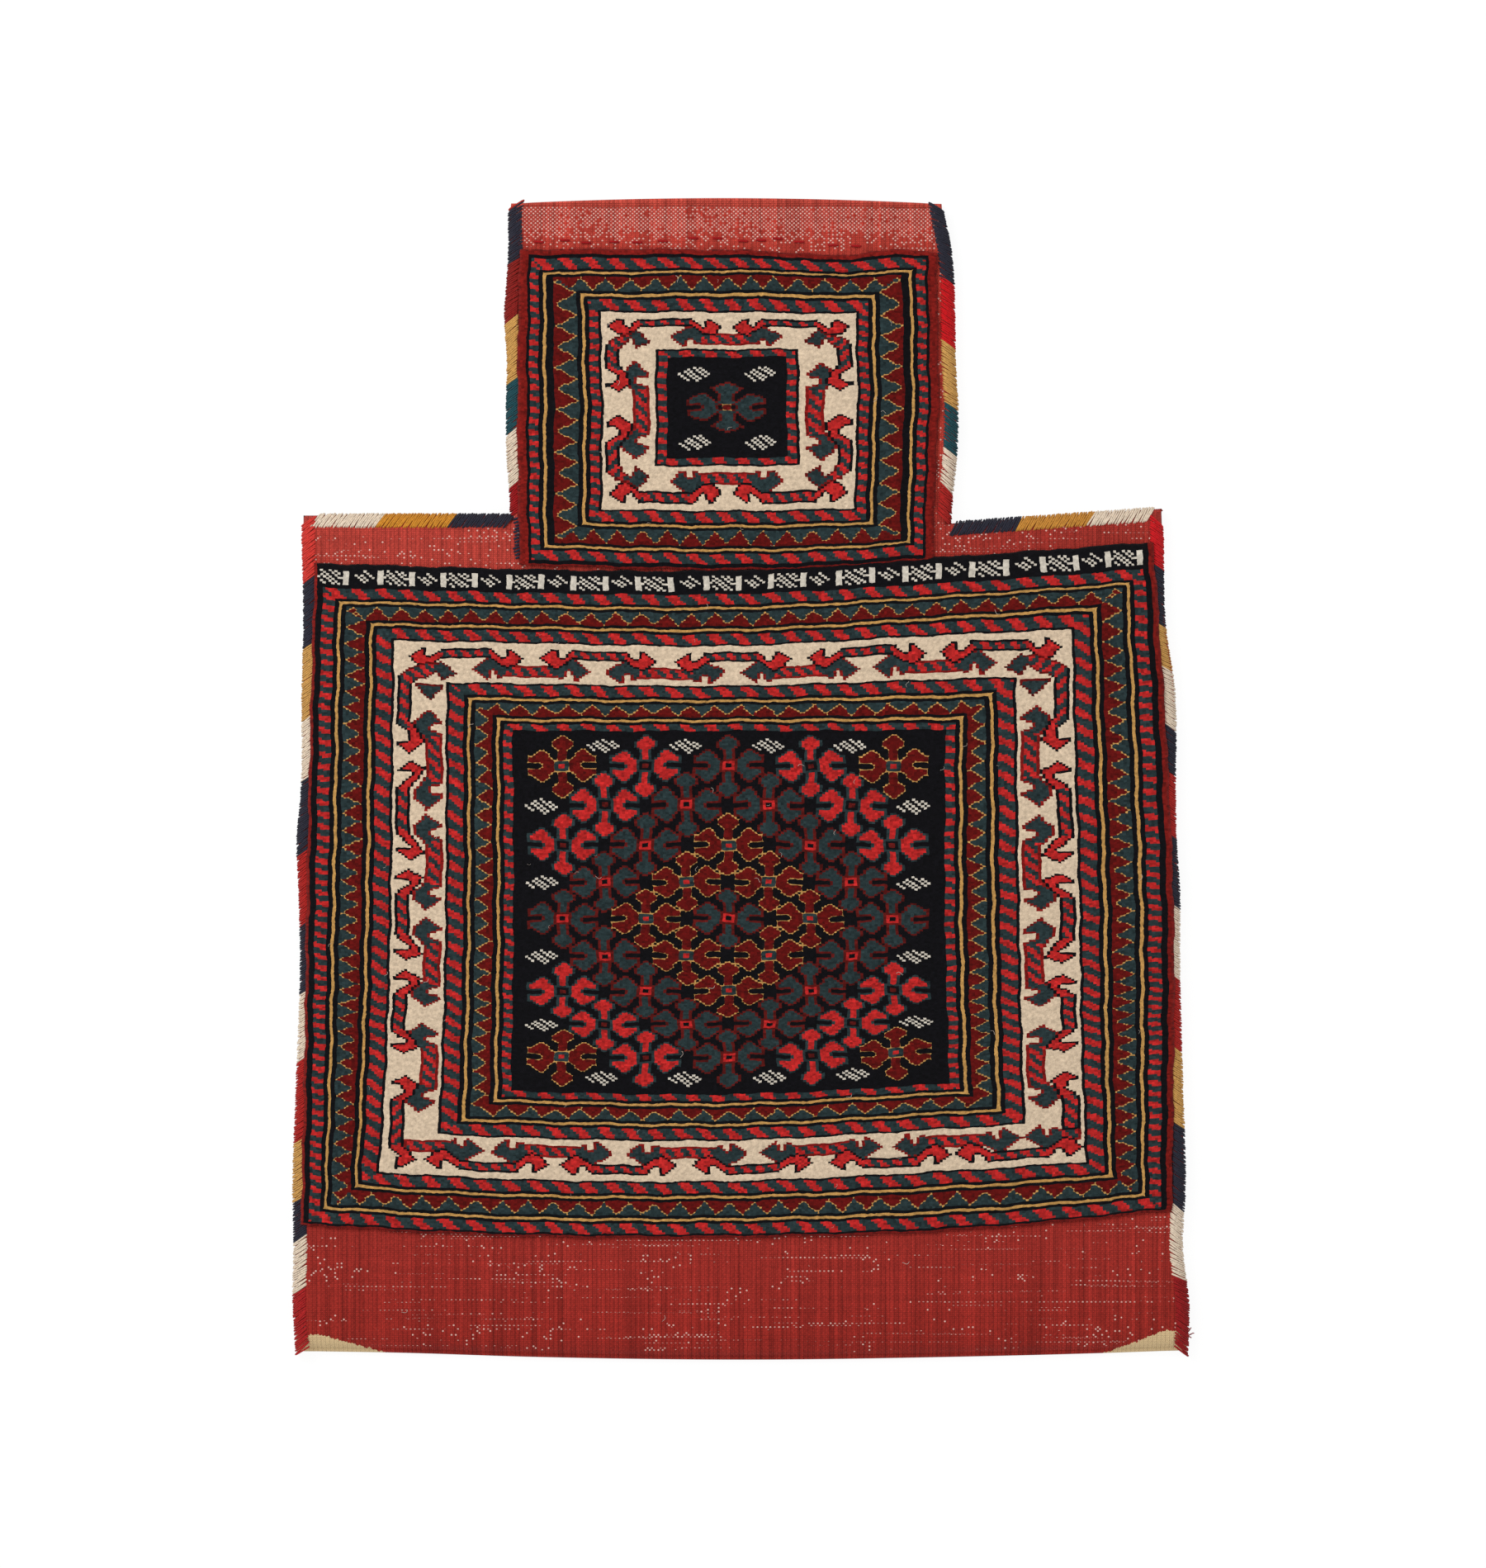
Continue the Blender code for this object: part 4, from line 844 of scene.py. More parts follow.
def strip_rows(front):
    """Rows of points of the front or the back, from the fold to the mouth."""
    neck_left, neck_right = (float(edge_x(NECK_OUTLINE, n, NECK_BASE[n])) for n in (0, 1))
    spans = (
        shares(spaced(SHOULDER_LINE[0][0], neck_left, True, False)),
        shares(spaced(neck_left, neck_right, True, True)),
        shares(spaced(neck_right, SHOULDER_LINE[-1][0], False, True)))
    up = shares(spaced(*BODY_SPREAD, True, True))
    foot, shoulder = BODY_EDGE_SPREAD
    rows = []
    for share in up:
        guess = foot + (shoulder - foot) * share
        left, right = edge_x(BODY_OUTLINE, 0, guess), edge_x(BODY_OUTLINE, 1, guess)
        px = np.concatenate([
            left + (neck_left - left) * spans[0], (neck_left + (neck_right - neck_left) * spans[1])[1:],
            (neck_right + (right - neck_right) * spans[2])[1:]])
        low = foot_row(px) - SEAM_THICKNESS / 2 / METRES_PER_PIXEL
        py = low + (shoulder_row(px) - low) * share
        rows.append((px, py))
    first = len(spans[0]) - 1
    count = len(spans[1])
    base_px, base_py = rows[-1][0][first:first + count], rows[-1][1][first:first + count]
    top = mouth_row(base_px, front)
    neck = []
    for share in shares(spaced(*NECK_SPREAD, False, True))[1:]:
        py = base_py + (top - base_py) * share
        left, right = edge_x(NECK_OUTLINE, 0, py), edge_x(NECK_OUTLINE, 1, py)
        neck.append((left + (right - left) * spans[1], py))
    return rows, neck, first


def woven_strip(material):
    """The folded strip of plain weave: the back, the fold and the front as one thick sheet."""
    vertices, faces, table = [], [], []

    def add_row(px, py, height, offset):
        x, y = spot(px, py)
        z = height(x, y) if callable(height) else height
        start = len(vertices)
        vertices.extend(np.stack([x, y, z], -1).tolist())
        table.append((start, len(px), offset))

    back_body, back_neck, first = strip_rows(False)
    front_body, front_neck, _ = strip_rows(True)
    for px, py in reversed(back_neck):
        add_row(px, py, back_height, first)
    for px, py in reversed(back_body):
        add_row(px, py, back_height, 0)
    px, py = front_body[0]
    x, y = spot(px, py)
    radius = SEAM_THICKNESS / 2
    for step in range(1, FOLD_STEPS):
        turn = math.pi * step / FOLD_STEPS
        low = y - radius * math.sin(turn)
        height = back_height(x, y) + radius * (1 - math.cos(turn))
        start = len(vertices)
        vertices.extend(np.stack([x, low, height], -1).tolist())
        table.append((start, len(px), 0))
    for px, py in front_body:
        add_row(px, py, front_height, 0)
    for px, py in front_neck:
        add_row(px, py, front_height, first)
    for (start, count, offset), (after, after_count, after_offset) in zip(table, table[1:]):
        low, high = max(offset, after_offset), min(offset + count, after_offset + after_count)
        for column in range(low, high - 1):
            a, b = start + column - offset, after + column - after_offset
            faces.append((a, a + 1, b + 1, b))
    item = new_mesh_object("bag_cloth", vertices, faces, [material])
    paint_cloth(item)
    wall = item.modifiers.new("cloth_thickness", "SOLIDIFY")
    wall.thickness = CLOTH
    wall.offset = -1
    return smooth(item)


# The cloth's dye at the shoulder's two ends, on the neck and at the foot, and the mouth's inside,
# which is painted brighter than the neck's dye as painted light in the shade there
LEFT_SHOULDER_DYE, RIGHT_SHOULDER_DYE = (192, 68, 57), (174, 55, 46)
NECK_DYE = (194, 66, 54)
FOOT_TOP_DYE, FOOT_LOW_DYE = (172, 51, 43), (159, 43, 35)
MOUTH_INSIDE_PAINTED_LIGHT = (222, 89, 74)


def paint_cloth(item):
    """How the dye changes over the cloth, with painted light on the mouth's shaded inside."""
    points = np.array([v.co for v in item.data.vertices])
    px = points[:, 0] / METRES_PER_PIXEL + ORIGIN_PIXEL[0]
    py = ORIGIN_PIXEL[1] - points[:, 1] / METRES_PER_PIXEL

    def between(one, other, places, start, length):
        share = np.clip((places - start) / length, 0, 1)[:, None]
        return one * (1 - share) + other * share

    shoulder = between(linear(LEFT_SHOULDER_DYE), linear(RIGHT_SHOULDER_DYE), px, 600, 560)
    foot = between(linear(FOOT_TOP_DYE), linear(FOOT_LOW_DYE), py, 1480, 160)
    colour = between(shoulder, foot, py, 700, 700)
    colour = np.where((py < 600)[:, None], linear(NECK_DYE), colour)
    # Painted light: the back's inside at the mouth lies in shade, so its colour is made brighter than the
    # neck's dye
    painted_light_in_mouth = (py < 300) & (points[:, 2] < 0.008)
    colour = np.where(painted_light_in_mouth[:, None], linear(MOUTH_INSIDE_PAINTED_LIGHT), colour)
    layer = item.data.color_attributes.new("dye", "FLOAT_COLOR", "POINT")
    layer.data.foreach_set("color", np.concatenate([colour, np.ones((len(colour), 1))], 1).ravel())


# The plain weave: one warp's width, one weft's height, and where the neck's bare warps begin
WARP = 0.00107
WEFT = 0.00096
BARE_FROM, BARE_FULL = 0.257, 0.275
# From the darkest to the brightest: along a warp, along a weft, and from a thread's side to its top, this
# last one being painted shade in the grooves and painted light on the crowns
WARP_SHADES = (0.74, 1.25)
WEFT_SHADES = (0.93, 1.07)
GROOVE_PAINTED_SHADE = (0.64, 1.24)
# The wear below and above the heights at the shoulder, and below and above those on the neck
SHOULDER_FROM, SHOULDER_FULL = 0.100, 0.110
SHOULDER_WEAR = (-0.13, -0.08)
NECK_WEAR = (-0.3, 0.36)
# Above how much wear a white warp shows, in patches and in rows
WORN_PATCHES, WORN_ROWS = 0.38, 0.775
# A white warp's colour, how bright it is at least and at most, and where its dot starts to fade
# and ends, in threads from its middle
WHITE_WARP = (255, 214, 200)
WHITE_BRIGHTNESS = (0.32, 0.8)
WHITE_DOT = (0.34, 0.5)
# The undyed cloth at the foot: its colour, and its upper edge from a corner to where the edge has
# gone below the foot, as two places across and two heights, in pixels
UNDYED = (226, 197, 150)
LEFT_UNDYED = (388.0, 628.0, 1616.5, 1687.0)
RIGHT_UNDYED = (1412.0, 1178.0, 1611.0, 1704.0)


def cloth_material():
    """Plain weave: raised ribs along the warp, fine weft, white warps that show in places, and painted
    shade between the threads.
    """
    material = wool_material("plain_weave", attribute="dye", fibre=2300.0, bump=0.4, depth=0.0004)
    nodes, links = material.node_tree.nodes, material.node_tree.links
    shader = nodes["Principled BSDF"]
    place = nodes["Texture Coordinate"]
    split = nodes.new("ShaderNodeSeparateXYZ")
    links.new(place.outputs["Object"], split.inputs[0])

    def maths(operation, first, second=None, third=None):
        node = add_node(nodes, "ShaderNodeMath", operation=operation)
        for socket, value in zip(node.inputs, (first, second, third)):
            if value is None:
                continue
            if isinstance(value, (int, float)):
                socket.default_value = value
            else:
                links.new(value, socket)
        return node.outputs[0]

    def stretched_noise(scale_x, scale_y, detail=2.0):
        along = add_node(
            nodes, "ShaderNodeVectorMath", operation="MULTIPLY", inputs={1: (scale_x, scale_y, 1.0)})
        links.new(place.outputs["Object"], along.inputs[0])
        noise = add_node(nodes, "ShaderNodeTexNoise", {"Scale": 1.0, "Detail": detail})
        links.new(along.outputs[0], noise.inputs["Vector"])
        return noise.outputs["Fac"]

    def ranged(value, low, high, to_low, to_high):
        node = add_node(nodes, "ShaderNodeMapRange", {
            "From Min": low, "From Max": high, "To Min": to_low, "To Max": to_high})
        links.new(value, node.inputs["Value"])
        return node.outputs["Result"]

    column = maths("DIVIDE", split.outputs["X"], WARP)
    row = maths("DIVIDE", split.outputs["Y"], WEFT)
    across = maths("SUBTRACT", maths("FRACT", column), 0.5)
    up = maths("SUBTRACT", maths("FRACT", row), 0.5)
    over = maths("PINGPONG", maths("ADD", maths("FLOOR", column), maths("FLOOR", row)), 1.0)
    rib = maths("COSINE", maths("MULTIPLY", column, math.pi))
    beat = maths("COSINE", maths("MULTIPLY", up, math.pi))
    rounded = maths("COSINE", maths("MULTIPLY", across, math.pi))
    raised = maths("ADD", maths("MULTIPLY", over, 0.5), 0.5)
    weave = maths("MULTIPLY", raised, maths("MULTIPLY", beat, rounded))
    height = maths("ADD", weave, maths("MULTIPLY", rib, 0.14))
    relief = add_node(nodes, "ShaderNodeBump", {"Strength": 0.8, "Distance": 0.0005})
    links.new(height, relief.inputs["Height"])
    fine = next(n for n in nodes if n.bl_idname == "ShaderNodeBump" and n != relief)
    links.new(relief.outputs["Normal"], fine.inputs["Normal"])

    streak = ranged(stretched_noise(420.0, 9.0), 0.3, 0.7, *WARP_SHADES)
    bands = ranged(stretched_noise(7.0, 260.0), 0.3, 0.7, *WEFT_SHADES)
    # Painted shade and light: the colour darkens down each thread's sides into the grooves and brightens on
    # its crown
    groove_painted_shade = ranged(height, -0.1, 0.9, *GROOVE_PAINTED_SHADE)
    shade = add_node(nodes, "ShaderNodeVectorMath", operation="SCALE")
    links.new(shader.inputs["Base Color"].links[0].from_socket, shade.inputs[0])
    links.new(maths("MULTIPLY", maths("MULTIPLY", streak, bands), groove_painted_shade), shade.inputs["Scale"])

    chance = nodes.new("ShaderNodeTexWhiteNoise")
    cell = nodes.new("ShaderNodeCombineXYZ")
    links.new(maths("FLOOR", column), cell.inputs[0])
    links.new(maths("FLOOR", row), cell.inputs[1])
    links.new(cell.outputs[0], chance.inputs["Vector"])
    luck = maths("MULTIPLY", maths("SUBTRACT", chance.outputs["Value"], 0.5), 0.5)
    at_shoulder = ranged(split.outputs["Y"], SHOULDER_FROM, SHOULDER_FULL, *SHOULDER_WEAR)
    at_neck = ranged(split.outputs["Y"], BARE_FROM, BARE_FULL, *NECK_WEAR)
    patches = maths("MULTIPLY", stretched_noise(26.0, 60.0), 0.5)
    wear = maths("ADD", maths("ADD", patches, luck), maths("MAXIMUM", at_shoulder, at_neck))
    in_rows = maths("ADD", maths("ADD", stretched_noise(13.0, 950.0, 1.0), maths(
        "MULTIPLY", stretched_noise(30.0, 30.0), 0.22)), maths("MULTIPLY", luck, 0.2))
    thin_cloth = maths(
        "MAXIMUM", maths("GREATER_THAN", wear, WORN_PATCHES), maths("GREATER_THAN", in_rows, WORN_ROWS))
    on_front = maths("GREATER_THAN", split.outputs["Z"], SEAM_THICKNESS + 0.003)
    shown = maths("MULTIPLY", maths("MULTIPLY", thin_cloth, over), on_front)
    from_centre = maths("SQRT", maths("ADD", maths("POWER", across, 2.0), maths("POWER", up, 2.0)))
    dot = maths("MULTIPLY", ranged(from_centre, *WHITE_DOT, 1.0, 0.0), shown)
    white_warp = add_node(nodes, "ShaderNodeMix", data_type="RGBA")
    brightness = ranged(chance.outputs["Value"], 0.0, 1.0, *WHITE_BRIGHTNESS)
    links.new(maths("MULTIPLY", dot, brightness), white_warp.inputs["Factor"])
    links.new(shade.outputs["Vector"], white_warp.inputs["A"])
    white_warp.inputs["B"].default_value = (*linear(WHITE_WARP), 1.0)

    px = maths("ADD", maths("DIVIDE", split.outputs["X"], METRES_PER_PIXEL), ORIGIN_PIXEL[0])
    py = maths("SUBTRACT", ORIGIN_PIXEL[1], maths("DIVIDE", split.outputs["Y"], METRES_PER_PIXEL))
    ragged = maths("MULTIPLY", maths("SUBTRACT", stretched_noise(700.0, 90.0), 0.5), 9.0)
    left_edge = ranged(px, *LEFT_UNDYED)
    right_edge = ranged(px, *RIGHT_UNDYED)
    wedge_top = maths("MINIMUM", left_edge, right_edge)
    undyed = maths("GREATER_THAN", maths("ADD", py, ragged), wedge_top)
    bare = add_node(nodes, "ShaderNodeVectorMath", operation="SCALE", inputs={0: linear(UNDYED)})
    # Painted shade: the undyed cloth too is darker between the threads and brighter on their crowns
    links.new(ranged(height, -0.2, 0.9, 0.78, 1.1), bare.inputs["Scale"])
    edge = add_node(nodes, "ShaderNodeMix", data_type="RGBA")
    links.new(undyed, edge.inputs["Factor"])
    links.new(white_warp.outputs["Result"], edge.inputs["A"])
    links.new(bare.outputs["Vector"], edge.inputs["B"])
    links.new(edge.outputs["Result"], shader.inputs["Base Color"])
    return material


YARN_COLOURS = {
    "red": (176, 40, 36),
    "navy": (46, 46, 58),
    "gold": (206, 158, 88),
    "cream": (228, 210, 188),
    "teal": (36, 78, 86),
}
OTHER_REDS = {
    "binding_neck_left_01_red": (180, 50, 38), "binding_neck_left_03_red": (140, 34, 30),
    "binding_neck_left_07_red": (158, 24, 28), "binding_body_left_01_red": (212, 62, 54),
    "binding_neck_right_02_red": (206, 26, 32), "binding_body_right_13_red": (150, 30, 32),
    "binding_body_left_13_red": (172, 38, 38), "binding_body_right_01_red": (206, 30, 36),
    "binding_shoulder_left_02_gold": (206, 140, 48), "binding_shoulder_right_02_gold": (200, 140, 60),
}

# One turn of yarn over the edge: the way in from the cloth's edge and the height, in millimetres
TURN = (
    (6.2, 9.7), (5.4, 10.75), (3.9, 10.55), (2.4, 10.0), (1.1, 9.1), (0.1, 7.6), (-0.65, 5.6),
    (-0.85, 3.7), (-0.5, 2.0), (0.5, 0.95), (2.4, 0.72), (4.4, 0.7), (5.4, 1.3))
# How far a turn runs along the edge for each step in from it, and the middle that it leans about
TURN_SLANT = 0.72
TURN_MIDDLE = 3.2
# A turn's smallest and largest size, as shares of it, and by how much turns lean apart
TURN_SIZES = ((0.97, 0.86, 0.985), (1.03, 1.12, 1.015))
TURN_UNEVENNESS = 0.07
YARN_RADIUS = 0.00047
YARN_PITCH = 0.00108
YARN_SIDES = 6


def tube(points, radius, sides=YARN_SIDES):
    """A closed tube along a line of points."""
    points = [Vector(p) for p in points]
    vertices, faces = [], []
    for index, point in enumerate(points):
        ahead = points[min(index + 1, len(points) - 1)] - points[max(index - 1, 0)]
        side = ahead.cross(Vector((0.1, 1, 0.3))).normalized()
        up = side.cross(ahead).normalized()
        for n in range(sides):
            turn = 2 * math.pi * n / sides
            vertices.append(point + (side * math.cos(turn) + up * math.sin(turn)) * radius)
    for ring in range(len(points) - 1):
        for n in range(sides):
            a, b = ring * sides + n, ring * sides + (n + 1) % sides
            faces.append((b, a, a + sides, b + sides))
    faces.append(tuple(range(sides)))
    faces.append(tuple(reversed(range((len(points) - 1) * sides, len(points) * sides))))
    return vertices, faces


def outward(item):
    """Turn a closed piece's faces outwards."""
    mesh = bmesh.new()
    mesh.from_mesh(item.data)
    bmesh.ops.recalc_face_normals(mesh, faces=mesh.faces)
    mesh.to_mesh(item.data)
    mesh.free()
    return item


def add_socket(tree, name, kind, way="INPUT", default=None):
    """A named input or output of a node tree."""
    socket = tree.interface.new_socket(name=name, in_out=way, socket_type=kind)
    if default is not None:
        socket.default_value = default
    return socket


def end_tree(tree, given, place, output):
    """Make the copies that a tree lays real, and dress them in its yarn."""
    add_socket(tree, output, "NodeSocketGeometry", "OUTPUT")
    nodes, links = tree.nodes, tree.links
    real = nodes.new("GeometryNodeRealizeInstances")
    dress = nodes.new("GeometryNodeSetMaterial")
    links.new(place.outputs["Instances"], real.inputs["Geometry"])
    links.new(real.outputs["Geometry"], dress.inputs["Geometry"])
    links.new(given.outputs["Yarn"], dress.inputs["Material"])
    links.new(dress.outputs["Geometry"], nodes.new("NodeGroupOutput").inputs[output])


def winding_tree():
    """A node tree that lays turns of yarn side by side along a line of edges."""
    tree = bpy.data.node_groups.new("wind_yarn", "GeometryNodeTree")
    add_socket(tree, "Edge line", "NodeSocketGeometry")
    add_socket(tree, "Turn", "NodeSocketObject")
    add_socket(tree, "Spacing", "NodeSocketFloat", default=YARN_PITCH)
    add_socket(tree, "Unevenness", "NodeSocketFloat", default=TURN_UNEVENNESS)
    add_socket(tree, "Seed", "NodeSocketInt", default=1)
    add_socket(tree, "Yarn", "NodeSocketMaterial")
    nodes, links = tree.nodes, tree.links
    given = nodes.new("NodeGroupInput")
    line = nodes.new("GeometryNodeMeshToCurve")
    spread = add_node(nodes, "GeometryNodeResampleCurve", mode="LENGTH")
    tangent = nodes.new("GeometryNodeInputTangent")
    turned = add_node(nodes, "FunctionNodeAlignRotationToVector", axis="Y", pivot_axis="Z")
    lean = add_node(nodes, "FunctionNodeRandomValue", data_type="FLOAT_VECTOR")
    low = nodes.new("ShaderNodeCombineXYZ")
    high = nodes.new("ShaderNodeCombineXYZ")
    minus = add_node(nodes, "ShaderNodeMath", operation="MULTIPLY", inputs={1: -1.0})
    euler = nodes.new("FunctionNodeEulerToRotation")
    rotate = add_node(nodes, "FunctionNodeRotateRotation", rotation_space="LOCAL")
    size = add_node(nodes, "FunctionNodeRandomValue", data_type="FLOAT_VECTOR", inputs={
        "Min": TURN_SIZES[0], "Max": TURN_SIZES[1]})
    turn = add_node(nodes, "GeometryNodeObjectInfo", {"As Instance": True})
    place = nodes.new("GeometryNodeInstanceOnPoints")
    links.new(given.outputs["Edge line"], line.inputs["Mesh"])
    links.new(line.outputs["Curve"], spread.inputs["Curve"])
    links.new(given.outputs["Spacing"], spread.inputs["Length"])
    links.new(tangent.outputs[0], turned.inputs["Vector"])
    links.new(given.outputs["Unevenness"], minus.inputs[0])
    links.new(minus.outputs[0], low.inputs["Z"])
    links.new(given.outputs["Unevenness"], high.inputs["Z"])
    links.new(low.outputs[0], lean.inputs["Min"])
    links.new(high.outputs[0], lean.inputs["Max"])
    links.new(given.outputs["Seed"], lean.inputs["Seed"])
    links.new(given.outputs["Seed"], size.inputs["Seed"])
    links.new(lean.outputs[0], euler.inputs[0])
    links.new(turned.outputs[0], rotate.inputs[0])
    links.new(euler.outputs[0], rotate.inputs[1])
    links.new(given.outputs["Turn"], turn.inputs["Object"])
    links.new(spread.outputs["Curve"], place.inputs["Points"])
    links.new(turn.outputs["Geometry"], place.inputs["Instance"])
    links.new(rotate.outputs[0], place.inputs["Rotation"])
    links.new(size.outputs[0], place.inputs["Scale"])
    end_tree(tree, given, place, "Winding")
    return tree


def grown(name, line_points, tree, values, edges=None):
    """Run a node tree on a line of points and keep the result as a plain mesh."""
    data = bpy.data.meshes.new(name + "_line")
    if edges is None:
        edges = [(n, n + 1) for n in range(len(line_points) - 1)]
    data.from_pydata([tuple(p) for p in line_points], edges, [])
    guide = in_scene(name + "_line", data)
    modifier = guide.modifiers.new("growth", "NODES")
    modifier.node_group = tree
    sockets = {s.name: s.identifier for s in tree.interface.items_tree if s.in_out == "INPUT"}
    for key, value in values.items():
        modifier[sockets[key]] = value
    bpy.context.view_layer.update()
    evaluated = guide.evaluated_get(bpy.context.evaluated_depsgraph_get())
    mesh = bpy.data.meshes.new_from_object(evaluated)
    mesh.name = name
    item = in_scene(name, mesh)
    bpy.data.objects.remove(guide)
    if values.get("Yarn") is not None:
        mesh.materials.clear()
        mesh.materials.append(values["Yarn"])
    return item


# Where windings end before the bag's corners: across on the left shoulder, and at which height on
# the body's and the neck's edges, in pixels
SHOULDER_WOUND_FROM = 372.0
BODY_WOUND_FROM, NECK_WOUND_FROM = 630.0, 246.0


def edge_path(edge, low, high):
    """The cloth's edge between two corners of a binding's box, run so that inside is on its right."""
    if edge.startswith("shoulder"):
        px = np.array([low[0], high[0]]) / METRES_PER_PIXEL + ORIGIN_PIXEL[0]
        px = np.linspace(max(px[0] + 1.0, SHOULDER_WOUND_FROM), px[1] - 1.0, 6)
        py = shoulder_row(px)
    else:
        on_neck = edge.startswith("neck")
        outline, highest = (NECK_OUTLINE, NECK_WOUND_FROM) if on_neck else (BODY_OUTLINE, BODY_WOUND_FROM)
        side = 0 if edge.endswith("left") else 1
        py = ORIGIN_PIXEL[1] - np.array([low[1], high[1]]) / METRES_PER_PIXEL
        py = np.linspace(py[0] - 1.0, max(py[1] + 1.0, highest), 9)
        px = edge_x(outline, side, py)
        if side == 1:
            px, py = px[::-1], py[::-1]
    x, y = spot(px, py)
    return [(a, b, 0.0) for a, b in zip(x, y)]


def wind_bindings():
    """A winding of yarn in place of each of the solids' binding sleeves."""
    turns = {}
    for way, slant in (("left", TURN_SLANT), ("right", -TURN_SLANT)):
        path = [(a / 1000, slant * (a - TURN_MIDDLE) / 1000, b / 1000) for a, b in TURN]
        turns[way] = smooth(outward(new_mesh_object("yarn_turn_" + way, *tube(path, YARN_RADIUS))))
    tree = winding_tree()
    materials = {}
    for number, node in enumerate(sorted(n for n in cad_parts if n.startswith("binding_"))):
        words = node.split("_")
        edge, colour = "_".join(words[1:3]), words[-1]
        shade = OTHER_REDS.get(node, YARN_COLOURS[colour])
        if shade not in materials:
            name = f"{colour}_yarn_{len(materials)}"
            materials[shade] = wool_material(name, colour=shade, fibre=1900.0, bump=0.5)
        low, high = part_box(node)
        values = {
            "Turn": turns["left" if edge in ("neck_left", "body_left") else "right"],
            "Spacing": YARN_PITCH, "Unevenness": TURN_UNEVENNESS, "Seed": number + 1,
            "Yarn": materials[shade]}
        item = grown("wound_" + node[8:], edge_path(edge, low, high), tree, values)
        smooth(item)
        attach(item, "root")
        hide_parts(node)
    for turn in turns.values():
        bpy.data.objects.remove(turn)


# The running stitches along the neck's hem, left to right: middle of each, in pixels
HEM_STITCHES = (
    (653, 293), (684, 291), (710, 294), (744, 293), (772, 293.5), (803, 292), (840, 288.5),
    (869, 288.6), (900, 292), (922, 291), (942, 289), (968, 293), (1009, 297), (1037, 298))
HEM_STITCH_HALF = 5.6
# The navy stitches down the joint at the left of the neck's base: how many, from where, to where
JOINT_STITCHES = 13
JOINT_FROM, JOINT_TO = (628.5, 627.0), (630.5, 674.0)


# The frayed ends: where they leave the lower right corner, in pixels, then each one's way, as an
# angle below the level, and its length in pixels
FRAYED_FROM = (1437.0, 1616.0)
FRAYED_ENDS = ((-0.5, 8.0), (0.1, 10.5), (0.6, 8.5), (0.95, 6.0), (0.3, 7.0))
# Half a thread's thickness: of the hem's yarn, the joint's and a frayed end's
HEM_YARN, JOINT_YARN, FRAYED_YARN = 0.00062, 0.00055, 0.00028


def lying_stitch(px, py, half, lean, sink=0.0009, rise=0.0006):
    """A stitch's yarn: up out of the cloth, along it and down again."""
    path = []
    for share in (-1.0, -0.85, -0.45, 0.0, 0.45, 0.85, 1.0):
        x, y = spot(px + share * half, py + share * half * lean)
        height = -sink if abs(share) == 1.0 else rise * (1.0 - 0.6 * abs(share))
        path.append((float(x), float(y), float(front_height(x, y)) + height))
    return path


def joined(name, parts, material):
    """Several closed shapes as one piece."""
    vertices, faces = [], []
    for points, sides in parts:
        start = len(vertices)
        vertices.extend(points)
        faces.extend(tuple(start + n for n in face) for face in sides)
    return smooth(outward(new_mesh_object(name, vertices, faces, [material])))


def add_stitches():
    """The hem's running stitches, the joint's stitches and the frayed ends at the corner."""
    hem = wool_material("hem_yarn", colour=(158, 22, 26), fibre=1900.0)
    hem_parts = [
        tube(lying_stitch(px, py, HEM_STITCH_HALF, 0.05), HEM_YARN) for px, py in HEM_STITCHES]
    navy = wool_material("joint_yarn", colour=(38, 44, 60), fibre=1900.0)
    random = np.random.default_rng(SEED + 5)
    joint_parts = []
    for share in np.linspace(0, 1, JOINT_STITCHES):
        px = JOINT_FROM[0] + (JOINT_TO[0] - JOINT_FROM[0]) * share + random.normal(0, 0.8)
        py = JOINT_FROM[1] + (JOINT_TO[1] - JOINT_FROM[1]) * share
        joint_parts.append(tube(lying_stitch(px, py, 6.5 + random.normal(0, 0.8), -0.35), JOINT_YARN))
    frayed = wool_material("frayed_yarn", colour=(150, 30, 32), fibre=1900.0)
    frayed_parts = []
    for bend, length in FRAYED_ENDS:
        path = []
        for share in (0.0, 0.3, 0.6, 0.85, 1.0):
            px = FRAYED_FROM[0] + share * length * math.cos(bend)
            wave = 1.5 * math.sin(share * 5 + bend)
            py = FRAYED_FROM[1] + bend * 3 + share * length * math.sin(bend) + wave
            x, y = spot(px, py)
            path.append((float(x), float(y), 0.0062 - 0.0022 * share))
        frayed_parts.append(tube(path, FRAYED_YARN, 5))
    pieces = (
        joined("hem_stitches", hem_parts, hem), joined("joint_stitches", joint_parts, navy),
        joined("frayed_ends", frayed_parts, frayed))
    for item, slot in zip(pieces, ("red_yarn", "navy_yarn", "red_yarn")):
        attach(item, "root")
    return list(pieces)


